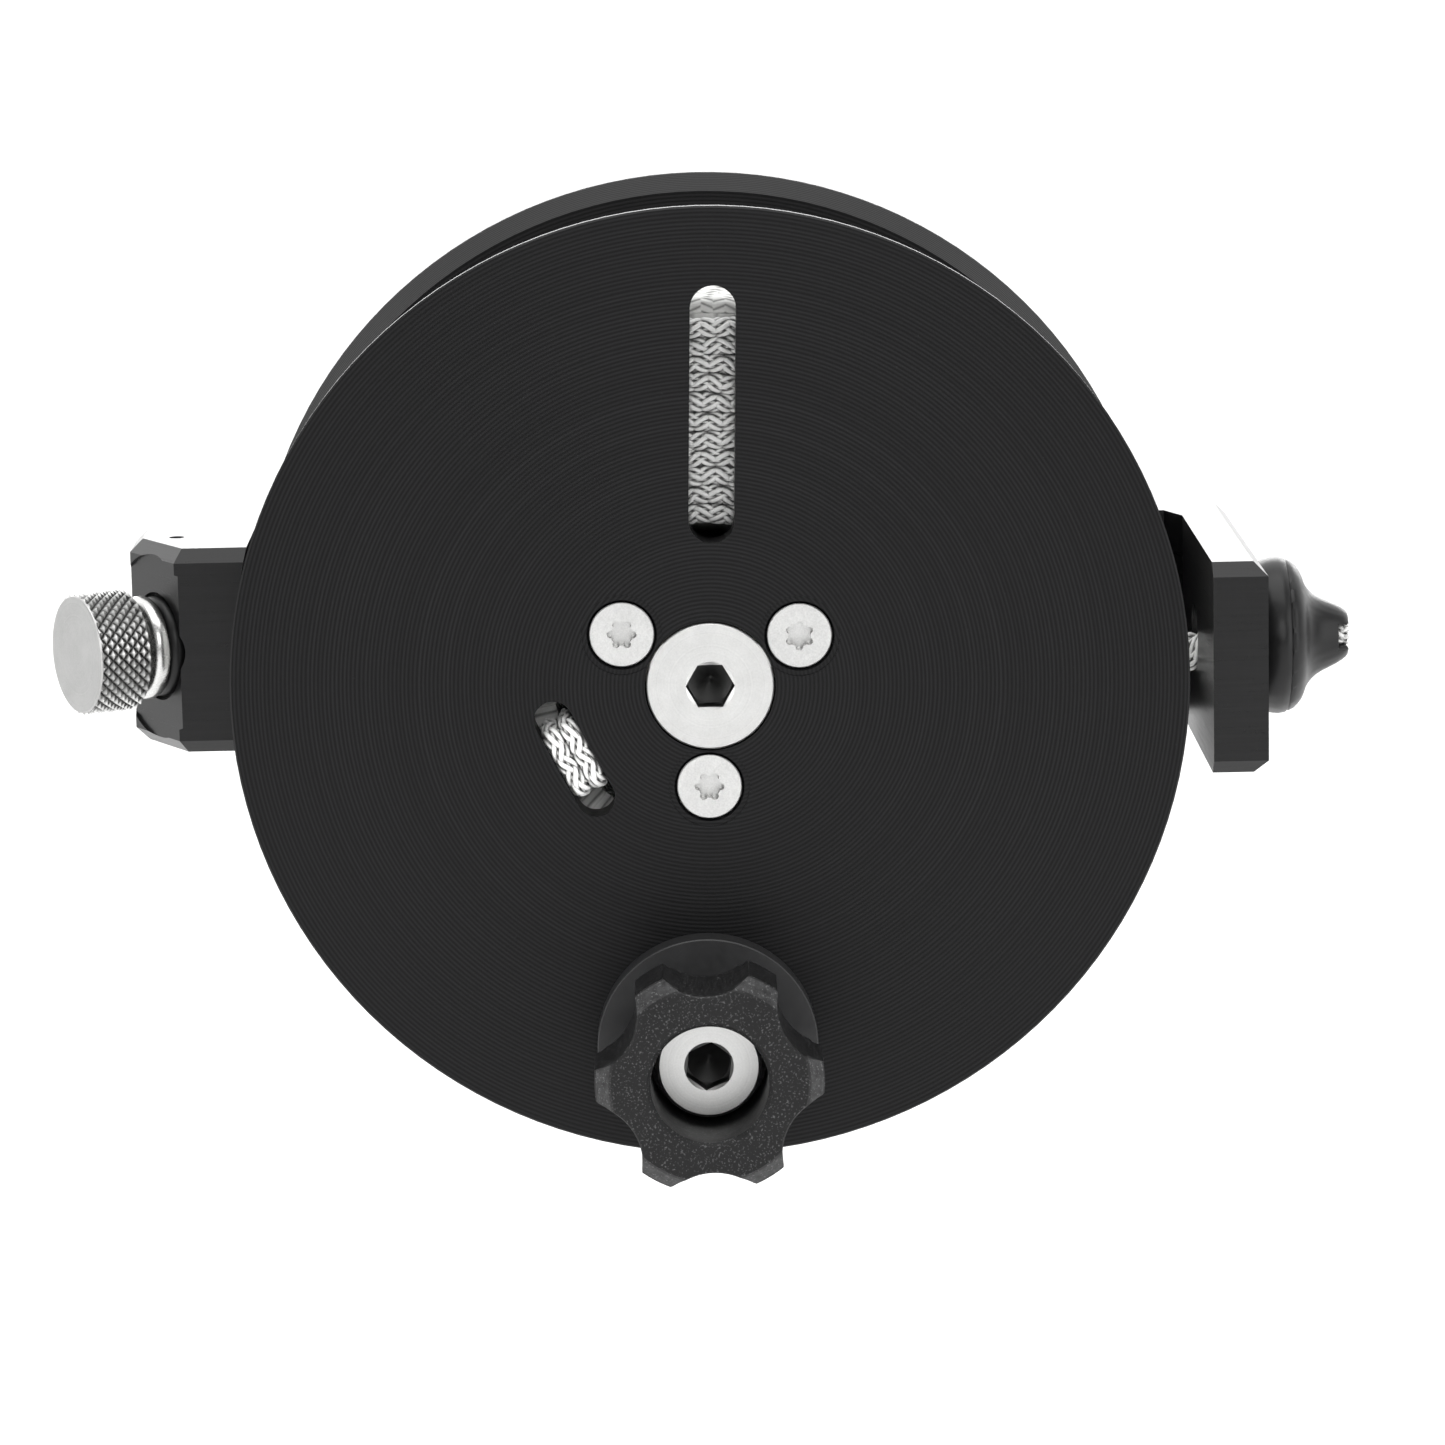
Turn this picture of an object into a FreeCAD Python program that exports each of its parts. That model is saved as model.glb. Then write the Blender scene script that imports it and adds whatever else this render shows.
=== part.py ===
import FreeCAD, Part
import os
from math import cos, radians, sin, tan

# Hand-cranked line reel: a U-shaped frame that carries a spool of braided line.
# Millimetres. +Z is up and -Y faces the person who turns the crank. The origin is on the
# spool's axis at the back face of the frame's base bar, where the reel is bolted down.

Vec = FreeCAD.Vector
AXIS_Y = Vec(0, 1, 0)

# Driving dimensions: spool
FLANGE_R = 45.0
FLANGE_T = 3.9
FLANGE_RIM = 0.8
FLANGE_EDGE = 0.2
FLANGE_CONE_R = 1.6
SPOOL_FRONT = -56.0
PACK_LENGTH = 30.8
PACK_R = 36.0
HUB_R = 13.0
HUB_BORE_R = 5.0
FLANGE_BORE_R = 6.15
SPOOL_TURN = 1.5  # degrees the spool is turned from upright, clockwise from the front
FLANGE_SCREW_PITCH_R = 9.6
FLANGE_SCREW_ANGLES = (30, 150, 270)
FLANGE_SCREW_TURNS = (0, 30, 30)  # how far each screw's star is turned
FLANGE_SCREW_DISH = (3.8, 3.3, 0.12)  # mouth radius, inner radius and depth of its rim
WINDOW_W = 4.3
WINDOW_R = (13.5, 37.6)
ANCHOR_ANGLE = 209
ANCHOR_R = 14.5
ANCHOR_W = 3.65
ANCHOR_L = 12.0
ANCHOR_GROOVE = 1.8
ANCHOR_BRIDGE = 4.0
LINE_D = 1.8

# Driving dimensions: axle
BOLT_R = 3.0
BOLT_HEAD_R = 6.0
BOLT_HEAD_RIM = 0.4
BOLT_LENGTH = 50.0
SLEEVE_R = 4.0
SLEEVE_BORE_R = 3.1
RUNNING = 0.06  # radial clearance of a running fit
END_FLOAT = 0.3
BUSH_R = 5.5
BUSH_L = 7.0
BUSH_FLANGE_R = 6.05
BUSH_FLANGE_T = 1.2
WASHER_R = 10.0

# Driving dimensions: crank knob
KNOB_PITCH_R = 34.0
BOSS_R = 10.4
BOSS_T = 3.0
KNOB_R = 10.6
KNOB_TOP = -74.3
KNOB_HEAD_T = 8.8
KNOB_NECK_R = 6.6
KNOB_BORE_R = 5.0
KNOB_LOBES = 6
KNOB_TURN = 2.5  # degrees, with the crank's own turn left out
KNOB_SCALLOP_R = 5.65
KNOB_SCALLOP_PITCH_R = 13.95
KNOB_RECESS_R = 5.45
KNOB_SCREW_HEAD_R = 4.9
KNOB_SCREW_HEAD_T = 3.0
KNOB_SCREW_TOP = -66.7
KNOB_SCREW_TURN = 24.5  # degrees its hexagon is turned

# Driving dimensions: frame
FRAME_H = 20.2
FRAME_EDGE = 1.3
BASE_T = 16.0
RIGHT_ARM_OUT = 52.7
RIGHT_ARM_IN = 47.5
RIGHT_ARM_FRONT = -52.7
RIGHT_CORNER_R = 9.0
LEFT_ARM_FRONT = -30.0
LEFT_ARM_OUT = -56.9
LEFT_CORNER = ((-46.5, 0.0), (LEFT_ARM_OUT, -13.9))
POCKET_CORNER = (46.0, -20.0)  # where the pocket's corner leaves its back and its side
POCKET_R = 46.0
FRAME_BOLT_PITCH = 60.0
FRAME_BOLT_HOLE_R = 2.5
FRAME_BOLT_DEPTH = 12.0

# Driving dimensions: lock screw, whose axis meets the rear flange's cone square on
LOCK_ANGLE = 30.0
LOCK_GAP = 0.1
LOCK_FACE = 11.77  # from the flange's cone to the arm's slanted face
LOCK_SPOT = (9.1, 0.3)  # radius and depth of the spot face
LOCK_THREAD_R = 2.95
LOCK_HOLE_R = 3.03
LOCK_GROOVE = (4.1, 8.5)
LOCK_GROOVE_R = 2.2
LOCK_COLLAR_R = 5.1
LOCK_COLLAR = (12.4, 14.1)
LOCK_NECK_R = 4.3
LOCK_HEAD_R = 6.0
LOCK_HEAD = (14.7, 20.2)
PAD_R = 2.3
PAD_T = 2.0
PAD_STEM_R = 1.0
O_RING_SECTION_R = 0.975
O_RING_SEAT = 10.42
O_RING_SEAT_R = 5.35
STOP_PIN_R = 0.75
STOP_PIN_AT = (7.5, 3.15)  # along the lock screw's axis, and to its rear side

# Driving dimensions: line and stopper
LINE_Y = -33.0
LINE_HOLE_R = 2.6
LINE_PAIR_R = 1.8  # two strands of the line twisted together
LINE_LEAVE = 24  # degrees below the way out where the line leaves the pack
LINE_BEND = 4.0
TAIL_START = 44.6
TAIL_END = 62.6
STOPPER_FACE = 53.0
STOPPER_NECK = 59.8
STOPPER_OUTLINE = (
    (53.7, 7.2),
    (55.2, 7.65),
    (56.8, 7.2),
    (57.8, 6.1),
    (58.4, 4.8),
    (59.4, 3.8),
    (61.0, 3.0),
    (62.35, 2.1),
)

# Worked out from the driving dimensions
FRONT_INNER = SPOOL_FRONT + FLANGE_T
REAR_INNER = FRONT_INNER + PACK_LENGTH
SPOOL_BACK = REAR_INNER + FLANGE_T
KNOB_AT = (0.0, -KNOB_PITCH_R)
BOSS_FRONT = SPOOL_FRONT - BOSS_T
KNOB_BOTTOM = BOSS_FRONT - END_FLOAT
KNOB_SEAT = KNOB_SCREW_TOP + KNOB_SCREW_HEAD_T
SLANT_BACK = LEFT_ARM_FRONT + 8.6
LOCK_TIP = Vec(-(FLANGE_R - FLANGE_CONE_R / 2), REAR_INNER + (FLANGE_T - 1.0) / 2, 0)
LOCK_DIR = Vec(-cos(radians(LOCK_ANGLE)), -sin(radians(LOCK_ANGLE)), 0)
LOCK_SIDE = Vec(-sin(radians(LOCK_ANGLE)), cos(radians(LOCK_ANGLE)), 0)


def disc(r, y0, y1, x=0.0, z=0.0):
    """A cylinder along Y from y0 to y1."""
    return Part.makeCylinder(r, y1 - y0, Vec(x, y0, z), AXIS_Y)


def tube(r_out, r_in, y0, y1, x=0.0, z=0.0):
    """A hollow cylinder along Y."""
    return disc(r_out, y0, y1, x, z).cut(disc(r_in, y0, y1, x, z))


def turned(points, x=0.0, z=0.0):
    """The solid that an outline of (radius, y) points sweeps about an axis along Y."""
    outline = [Vec(r, y, 0) for r, y in points]
    face = Part.Face(Part.makePolygon(outline + outline[:1]))
    solid = face.revolve(Vec(0, 0, 0), AXIS_Y, 360)
    solid.translate(Vec(x, 0, z))
    return solid


def polar(r, degrees):
    """The (x, z) place at a radius and an angle from +X towards +Z."""
    return r * cos(radians(degrees)), r * sin(radians(degrees))


def fused(shapes):
    """One shape from several."""
    return shapes[0].multiFuse(shapes[1:]).removeSplitter()


def slot(r_from, r_to, width, y0, y1):
    """A round-ended slot along +X, as a cutter."""
    half = width / 2
    body = Part.makeBox(r_to - r_from - width, y1 - y0, width, Vec(r_from + half, y0, -half))
    ends = [disc(half, y0, y1, r_from + half), disc(half, y0, y1, r_to - half)]
    return fused([body] + ends)


def about_spool(shape, degrees):
    """A shape turned about the spool's axis, from +X towards +Z."""
    shape.rotate(Vec(0, 0, 0), AXIS_Y, -degrees)
    return shape


def on_lock_axis(shape):
    """A shape made along +Y from the origin, moved to the lock screw's axis."""
    shape.rotate(Vec(0, 0, 0), Vec(0, 0, 1), 90 + LOCK_ANGLE)
    shape.translate(LOCK_TIP)
    return shape


def hexagon(across_flats, y0, depth, x=0.0, z=0.0, turn=0.0):
    """A hexagon key socket with a lead and a drilled point, opening towards -Y at y0."""
    corner = across_flats / (2 * cos(radians(30)))
    points = []
    for angle in range(0, 361, 60):
        dx, dz = polar(corner, angle + turn)
        points.append(Vec(x + dx, y0, z + dz))
    prism = Part.Face(Part.makePolygon(points)).extrude(Vec(0, depth, 0))
    drill = across_flats / 2
    lead = Part.makeCone(corner, drill, (corner - drill) * 0.6, Vec(x, y0, z), AXIS_Y)
    point = Part.makeCone(drill, 0, drill * 0.6, Vec(x, y0 + depth, z), AXIS_Y)
    return fused([prism, lead, point])


def star(across, y0, depth, x, z, turn):
    """A six-lobed key socket, opening towards -Y at y0."""
    lobe = across / 8
    parts = [disc(across / 2 - lobe, y0, y0 + depth, x, z)]
    for angle in range(30, 390, 60):
        dx, dz = polar(across / 2 - lobe, angle + turn)
        parts.append(disc(lobe, y0, y0 + depth, x + dx, z + dz))
    return fused(parts)


def export(name, shape):
    """Write one sub-part."""
    shape.exportStep("parts/" + name + ".step")


# Frame ---------------------------------------------------------------------------------


def frame_outline():
    """The frame's outer outline seen from above, closed across the mouth of the U."""
    slant = LEFT_ARM_OUT + (SLANT_BACK - LEFT_ARM_FRONT) * tan(radians(LOCK_ANGLE))
    corner = RIGHT_ARM_OUT - RIGHT_CORNER_R
    bend = RIGHT_CORNER_R * sin(radians(45))
    arc = Part.Arc(
        Vec(RIGHT_ARM_OUT, -RIGHT_CORNER_R, 0),
        Vec(corner + bend, -RIGHT_CORNER_R + bend, 0),
        Vec(corner, 0, 0),
    ).toShape()
    left = [(corner, 0), *LEFT_CORNER, (LEFT_ARM_OUT, SLANT_BACK), (slant, LEFT_ARM_FRONT)]
    left += [(-POCKET_R + 6, LEFT_ARM_FRONT), (POCKET_R - 6, RIGHT_ARM_FRONT)]
    right = [(RIGHT_ARM_OUT, RIGHT_ARM_FRONT), (RIGHT_ARM_OUT, -RIGHT_CORNER_R)]
    path = Part.makePolygon([Vec(x, y, 0) for x, y in left + right])
    return Part.Wire([arc] + path.Edges)


def make_frame_yoke():
    """The milled U: outer edges chamfered, then the spool's pocket and the holes cut."""
    half = FRAME_H / 2
    blank = Part.Face(frame_outline()).extrude(Vec(0, 0, FRAME_H))
    blank.translate(Vec(0, 0, -half))
    rims = [e for e in blank.Edges if e.BoundBox.ZLength < 1e-6]
    blank = blank.makeChamfer(FRAME_EDGE, rims)
    corner = [(0, -60), (RIGHT_ARM_IN, -60), (RIGHT_ARM_IN, POCKET_CORNER[1])]
    corner += [(POCKET_CORNER[0], -BASE_T), (0, -BASE_T)]
    points = [Vec(x, y, -half - 1) for x, y in corner + corner[:1]]
    pocket = Part.Face(Part.makePolygon(points)).extrude(Vec(0, 0, FRAME_H + 2))
    cuts = [pocket, disc(POCKET_R, -60, -BASE_T)]
    cuts.append(disc(BOLT_R, -BASE_T, SPOOL_FRONT + BOLT_LENGTH + 2))
    for side in (-1, 1):
        cuts.append(disc(FRAME_BOLT_HOLE_R, -FRAME_BOLT_DEPTH, 1, side * FRAME_BOLT_PITCH / 2))
    cuts.append(line_hole())
    cuts.append(on_lock_axis(disc(LOCK_HOLE_R, -6, 20)))
    cuts.append(on_lock_axis(disc(O_RING_SEAT_R, O_RING_SEAT, 20)))
    cuts.append(on_lock_axis(disc(LOCK_SPOT[0], LOCK_FACE - LOCK_SPOT[1], 20)))
    cuts.append(stop_pin(half))
    return blank.cut(cuts)


def line_hole():
    """The line's way out through the right arm, flared at both faces."""
    flare = 0.7
    start, end = RIGHT_ARM_IN, RIGHT_ARM_OUT
    outline = [(0, start - 1), (LINE_HOLE_R + flare + 1, start - 1), (LINE_HOLE_R, start + flare)]
    outline += [(LINE_HOLE_R, end - flare), (LINE_HOLE_R + flare + 1, end + 1), (0, end + 1)]
    return on_line_axis(turned(outline))


def on_line_axis(shape):
    """A shape made along +Y, turned to lie along +X on the line's way out."""
    shape.rotate(Vec(0, 0, 0), Vec(0, 0, 1), -90)
    shape.translate(Vec(0, LINE_Y, 0))
    return shape


def stop_pin(half):
    """The dowel that keeps the lock screw captive, upright beside the screw's groove."""
    along, aside = STOP_PIN_AT
    place = LOCK_TIP + LOCK_DIR * along + LOCK_SIDE * aside
    return Part.makeCylinder(STOP_PIN_R, 2 * half, Vec(place.x, place.y, -half))


# Axle ----------------------------------------------------------------------------------


def make_axle_bolt():
    """Countersunk bolt whose head lies flush with the front flange."""
    cone = SPOOL_FRONT + BOLT_HEAD_RIM + BOLT_HEAD_R - BOLT_R
    outline = [(0, SPOOL_FRONT), (BOLT_HEAD_R - 0.15, SPOOL_FRONT)]
    outline += [(BOLT_HEAD_R, SPOOL_FRONT + 0.15), (BOLT_HEAD_R, SPOOL_FRONT + BOLT_HEAD_RIM)]
    end = SPOOL_FRONT + BOLT_LENGTH
    outline += [(BOLT_R, cone), (BOLT_R, end - 0.8), (BOLT_R - 0.8, end), (0, end)]
    return turned(outline).cut(hexagon(4.0, SPOOL_FRONT, 2.6))


def make_axle_sleeve(bolt):
    """The tube that the spool turns on, clamped between the bolt's head and the frame."""
    front = SPOOL_FRONT + BOLT_HEAD_RIM + BOLT_HEAD_R - SLEEVE_R
    return tube(SLEEVE_R, SLEEVE_BORE_R, front, -BASE_T).cut(bolt)


def make_bush(face, towards):
    """A flanged plain bush in one end of the hub; towards is +1 where it points to +Y."""
    bore = SLEEVE_R + RUNNING
    outer = face - towards * BUSH_FLANGE_T
    inner = face + towards * BUSH_L
    outline = [(bore, outer), (BUSH_FLANGE_R, outer), (BUSH_FLANGE_R, face), (BUSH_R, face)]
    return turned(outline + [(BUSH_R, inner), (bore, inner)])


# Spool ---------------------------------------------------------------------------------


def make_flange(face, inwards):
    """One flange, with its outer face at y = face; inwards is +1 where the pack lies to +Y."""

    def at(depth):
        return face + inwards * depth

    outline = [(FLANGE_BORE_R, at(0)), (FLANGE_R - FLANGE_EDGE, at(0)), (FLANGE_R, at(FLANGE_EDGE))]
    outline += [(FLANGE_R, at(FLANGE_RIM + FLANGE_EDGE)), (FLANGE_R - FLANGE_CONE_R, at(FLANGE_T))]
    outline += [(FLANGE_BORE_R, at(FLANGE_T))]
    holes = []
    for angle in FLANGE_SCREW_ANGLES:
        x, z = polar(FLANGE_SCREW_PITCH_R, angle)
        mouth, rim, depth = FLANGE_SCREW_DISH
        dish = [(0, at(-1)), (mouth, at(-1)), (mouth, at(depth)), (rim, at(depth)), (rim, at(0.4))]
        dish += [(1.6, at(2.1)), (1.6, at(FLANGE_T + 1)), (0, at(FLANGE_T + 1))]
        holes.append(turned(dish, x, z))
    return turned(outline).cut(holes)


def make_flange_screws(face, inwards):
    """Three countersunk screws that hold one flange to the hub."""
    screws = []
    for angle, turn in zip(FLANGE_SCREW_ANGLES, FLANGE_SCREW_TURNS):
        x, z = polar(FLANGE_SCREW_PITCH_R, angle)
        outline = [(0, 0.15), (2.95, 0.15), (3.05, 0.25), (3.05, 0.45), (1.5, 2.0)]
        outline += [(1.5, 8.0), (0, 8.0)]
        screw = turned(outline, x, z).cut(star(2.8, 0.15, 1.3, x, z, turn))
        if inwards < 0:
            screw = screw.mirror(Vec(0, 0, 0), AXIS_Y)
        screw.translate(Vec(0, face, 0))
        screws.append(screw)
    return Part.makeCompound(screws)


def make_hub(screws):
    """The hub between the flanges, bored for the bushes and drilled for the screws."""
    hub = tube(HUB_R, HUB_BORE_R, FRONT_INNER, REAR_INNER)
    seats = [disc(BUSH_R, FRONT_INNER, FRONT_INNER + BUSH_L)]
    seats.append(disc(BUSH_R, REAR_INNER - BUSH_L, REAR_INNER))
    return hub.cut(seats + screws)


def make_front_flange():
    """The front flange with its sight window, line anchor and tapped hole for the knob."""
    over = 1.0
    past = FRONT_INNER + over
    window = slot(WINDOW_R[0], WINDOW_R[1], WINDOW_W, SPOOL_FRONT - over, past)
    cuts = [about_spool(window, 90)]
    half = ANCHOR_L / 2
    groove = slot(-half, half, ANCHOR_W, SPOOL_FRONT - over, SPOOL_FRONT + ANCHOR_GROOVE)
    through = slot(-half, half, ANCHOR_W, SPOOL_FRONT - over, past)
    block = (ANCHOR_BRIDGE, FLANGE_T + 3, ANCHOR_W + 2)
    corner = Vec(-block[0] / 2, SPOOL_FRONT - 1.5, -block[2] / 2)
    through = through.cut(Part.makeBox(*block, corner))
    cuts.append(on_anchor(groove))
    cuts.append(on_anchor(through))
    cuts.append(disc(BOLT_R, SPOOL_FRONT - over, past, *KNOB_AT))
    return make_flange(SPOOL_FRONT, 1).cut(cuts)


def on_anchor(shape):
    """A shape made along +X at the spool's axis, moved to lie across the anchor's radius."""
    shape.rotate(Vec(0, 0, 0), AXIS_Y, 90)
    shape.translate(Vec(ANCHOR_R, 0, 0))
    return about_spool(shape, ANCHOR_ANGLE)


def make_anchor_loop():
    """The line's inner end: two strands over the bridge and down both holes to the pack."""
    r = LINE_D / 2
    reach = ANCHOR_BRIDGE / 2 + r + 0.05
    top = SPOOL_FRONT + ANCHOR_GROOVE - r - 0.02
    bend = 0.93
    diagonal = bend * (1 - cos(radians(45)))
    strands = []
    for z in (-r - 0.01, r + 0.01):

        def p(x, y, z=z):
            return Vec(x, y, z)

        edges = [Part.LineSegment(p(-reach, FRONT_INNER), p(-reach, top + bend)).toShape()]
        middle = p(-reach + diagonal, top + diagonal)
        edges.append(Part.Arc(p(-reach, top + bend), middle, p(-reach + bend, top)).toShape())
        edges.append(Part.LineSegment(p(-reach + bend, top), p(reach - bend, top)).toShape())
        middle = p(reach - diagonal, top + diagonal)
        edges.append(Part.Arc(p(reach - bend, top), middle, p(reach, top + bend)).toShape())
        edges.append(Part.LineSegment(p(reach, top + bend), p(reach, FRONT_INNER)).toShape())
        circle = Part.makeCircle(r, p(-reach, FRONT_INNER), Vec(0, -1, 0))
        path = Part.Wire(edges)
        strands.append(path.makePipeShell([Part.Wire(circle)], True, False))
    return on_anchor(Part.makeCompound(strands))


# Crank knob ----------------------------------------------------------------------------


def make_knob():
    """Six-lobed knob with a neck, bored for its bush and sunk for the screw's head."""
    head = KNOB_TOP + KNOB_HEAD_T
    edge = 1.4
    under = 0.8
    outline = [(KNOB_NECK_R, KNOB_BOTTOM), (KNOB_NECK_R, head), (KNOB_R - under, head)]
    outline += [(KNOB_R, head - under), (KNOB_R, KNOB_TOP + edge), (KNOB_R - edge, KNOB_TOP)]
    outline += [(KNOB_RECESS_R + 0.3, KNOB_TOP), (KNOB_RECESS_R, KNOB_TOP + 0.3)]
    outline += [(KNOB_RECESS_R, KNOB_SEAT + END_FLOAT), (KNOB_BORE_R, KNOB_SEAT + END_FLOAT)]
    outline += [(KNOB_BORE_R, KNOB_BOTTOM)]
    knob = turned(outline, *KNOB_AT)
    scallops = []
    for lobe in range(KNOB_LOBES):
        angle = (lobe + 0.5) * 360 / KNOB_LOBES + KNOB_TURN
        x, z = polar(KNOB_SCALLOP_PITCH_R, angle)
        place = (x + KNOB_AT[0], z + KNOB_AT[1])
        scallops.append(disc(KNOB_SCALLOP_R, KNOB_TOP - 1, head + 0.1, *place))
    return knob.cut(scallops)


def make_knob_screw():
    """Shoulder screw: the knob turns on its shoulder, and its thread ends in the flange."""
    end = FRONT_INNER - 0.2
    top = KNOB_SCREW_TOP
    outline = [(0, top), (KNOB_SCREW_HEAD_R - 0.3, top), (KNOB_SCREW_HEAD_R, top + 0.3)]
    outline += [(KNOB_SCREW_HEAD_R, KNOB_SEAT), (SLEEVE_R, KNOB_SEAT), (SLEEVE_R, BOSS_FRONT)]
    outline += [(BOLT_R, BOSS_FRONT), (BOLT_R, end), (0, end)]
    socket = hexagon(4.0, top, 2.2, *KNOB_AT, KNOB_SCREW_TURN)
    return turned(outline, *KNOB_AT).cut(socket)


def make_knob_boss():
    """The disc that stands the knob off the flange."""
    outline = [(BOLT_R, SPOOL_FRONT), (BOSS_R, SPOOL_FRONT), (BOSS_R, BOSS_FRONT + 0.1)]
    outline += [(BOSS_R - 0.1, BOSS_FRONT), (BOLT_R, BOSS_FRONT)]
    return turned(outline, *KNOB_AT)


# Lock ----------------------------------------------------------------------------------


def make_lock_screw():
    """Thumb screw: tip bored for the pad, groove for the stop pin, collar and round head."""
    tip = LOCK_GAP + PAD_T + 0.1
    stem = PAD_STEM_R + RUNNING
    edge = 0.3
    outline = [(stem, tip), (LOCK_THREAD_R, tip), (LOCK_THREAD_R, LOCK_GROOVE[0])]
    outline += [(LOCK_GROOVE_R, LOCK_GROOVE[0]), (LOCK_GROOVE_R, LOCK_GROOVE[1])]
    outline += [(LOCK_THREAD_R, LOCK_GROOVE[1]), (LOCK_THREAD_R, LOCK_COLLAR[0])]
    outline += [(LOCK_COLLAR_R - edge, LOCK_COLLAR[0]), (LOCK_COLLAR_R, LOCK_COLLAR[0] + edge)]
    outline += [(LOCK_COLLAR_R, LOCK_COLLAR[1] - edge), (LOCK_NECK_R, LOCK_COLLAR[1])]
    outline += [(LOCK_NECK_R, LOCK_HEAD[0]), (LOCK_HEAD_R, LOCK_HEAD[0] + edge)]
    outline += [(LOCK_HEAD_R, LOCK_HEAD[1] - edge), (LOCK_HEAD_R - edge, LOCK_HEAD[1])]
    depth = tip + 2.1
    outline += [(0, LOCK_HEAD[1]), (0, depth), (stem, depth)]
    return on_lock_axis(turned(outline))


def make_lock_pad():
    """Nylon pad that presses on the rear flange's cone, with a stem in the screw's tip."""
    face = LOCK_GAP
    back = face + PAD_T
    stem = back + 2.0
    outline = [(0, face), (PAD_R - 0.3, face), (PAD_R, face + 0.3), (PAD_R, back)]
    return on_lock_axis(turned(outline + [(PAD_STEM_R, back), (PAD_STEM_R, stem), (0, stem)]))


def make_lock_o_ring():
    """O-ring in its seat under the screw's collar, which steadies the screw."""
    middle = LOCK_HOLE_R + O_RING_SECTION_R
    place = Vec(0, O_RING_SEAT + O_RING_SECTION_R - 0.02, 0)
    return on_lock_axis(Part.makeTorus(middle, O_RING_SECTION_R, place, AXIS_Y))


# Line ----------------------------------------------------------------------------------


def make_line_run():
    """The doubled line from the pack's outside up to the way out through the right arm."""
    off = PACK_R + LINE_PAIR_R + 0.3
    bend = LINE_BEND
    leave = Vec(*polar(off, -LINE_LEAVE), 0)
    climb = Vec(sin(radians(LINE_LEAVE)), cos(radians(LINE_LEAVE)), 0)
    turn = radians(90 - LINE_LEAVE)
    level = leave + climb * ((-leave.y) / climb.y)
    trim = bend * tan(turn / 2)
    start, end = level - climb * trim, level + Vec(trim, 0, 0)
    centre = end + Vec(0, -bend, 0)
    half = Vec(-sin(turn / 2), cos(turn / 2), 0)
    arc = Part.Arc(start, centre + half * bend, end).toShape()
    path = Part.Wire([Part.LineSegment(leave, start).toShape(), arc])
    profile = Part.Wire(Part.makeCircle(LINE_PAIR_R, leave, climb))
    run = path.makePipeShell([profile], True, False)
    run.rotate(Vec(0, 0, 0), Vec(1, 0, 0), 90)
    run.translate(Vec(0, LINE_Y, 0))
    return run


def make_stopper():
    """Moulded rubber stopper, with a slit at its tip where the line's end shows."""
    first, last = STOPPER_OUTLINE[0], STOPPER_OUTLINE[-1]
    spline = Part.BSplineCurve()
    spline.interpolate([Vec(r, x, 0) for x, r in STOPPER_OUTLINE])
    inner, tip, neck = LINE_PAIR_R, LINE_D / 2 + 0.25, STOPPER_NECK
    corners = [(last[1], last[0]), (tip, last[0]), (tip, neck), (inner, neck)]
    corners += [(inner, STOPPER_FACE), (first[1] - 0.7, STOPPER_FACE), (first[1], first[0])]
    rest = Part.makePolygon([Vec(r, x, 0) for r, x in corners])
    face = Part.Face(Part.Wire([spline.toShape()] + rest.Edges))
    body = on_line_axis(face.revolve(Vec(0, 0, 0), AXIS_Y, 360))
    slit = Part.makeBox(2, 4, 2 * tip, Vec(last[0] - 1.0, LINE_Y - 4, -tip))
    return body.cut(slit)


def make_line_tail():
    """The line inside the stopper, thinned to one strand at its end."""
    tip, neck = LINE_D / 2 + 0.25, STOPPER_NECK
    outline = [(0, TAIL_START), (LINE_PAIR_R, TAIL_START), (LINE_PAIR_R, neck), (tip, neck)]
    return on_line_axis(turned(outline + [(tip, TAIL_END), (0, TAIL_END)]))


def main():
    """Build every sub-part and write it."""
    os.makedirs("parts", exist_ok=True)

    bolt = make_axle_bolt()
    export("frame_yoke", make_frame_yoke())
    export("axle_bolt", bolt)
    export("axle_sleeve", make_axle_sleeve(bolt))
    export("thrust_washer", tube(WASHER_R, SLEEVE_R + RUNNING, SPOOL_BACK + END_FLOAT, -BASE_T))
    export("screw_stop_pin", stop_pin(FRAME_H / 2 - 0.2))
    export("lock_o_ring", make_lock_o_ring())
    export("lock_screw", make_lock_screw())
    export("lock_pad", make_lock_pad())
    export("line_run", make_line_run())
    export("stopper", make_stopper())
    export("line_tail", make_line_tail())

    front_screws = make_flange_screws(SPOOL_FRONT, 1)
    rear_screws = make_flange_screws(SPOOL_BACK, -1)
    neck = KNOB_SEAT + END_FLOAT
    spool = {
        "front_flange": make_front_flange(),
        "rear_flange": make_flange(SPOOL_BACK, -1),
        "spool_hub": make_hub([front_screws, rear_screws]),
        "front_bush": make_bush(FRONT_INNER, 1),
        "rear_bush": make_bush(REAR_INNER, -1),
        "front_flange_screws": front_screws,
        "rear_flange_screws": rear_screws,
        "line_pack": tube(PACK_R, HUB_R, FRONT_INNER, REAR_INNER),
        "line_anchor_loop": make_anchor_loop(),
        "knob_boss": make_knob_boss(),
        "knob_screw": make_knob_screw(),
        "crank_knob": make_knob(),
        "knob_bush": tube(KNOB_BORE_R, SLEEVE_R + RUNNING, neck, KNOB_BOTTOM, *KNOB_AT),
    }
    for name, shape in spool.items():
        export(name, about_spool(shape, -SPOOL_TURN))


main()
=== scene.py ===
"""Looks of a hand-cranked line reel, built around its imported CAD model.

Sizes are in millimetres unless a name ends in _m. The spool's axis is the Y axis, the person who
cranks is on the -Y side, and +Z is up.
"""

import logging
import math
import random
from dataclasses import dataclass
from enum import Enum
from typing import Callable, Iterable, Sequence

import bmesh
import bpy
from mathutils import Matrix, Vector, noise


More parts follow.
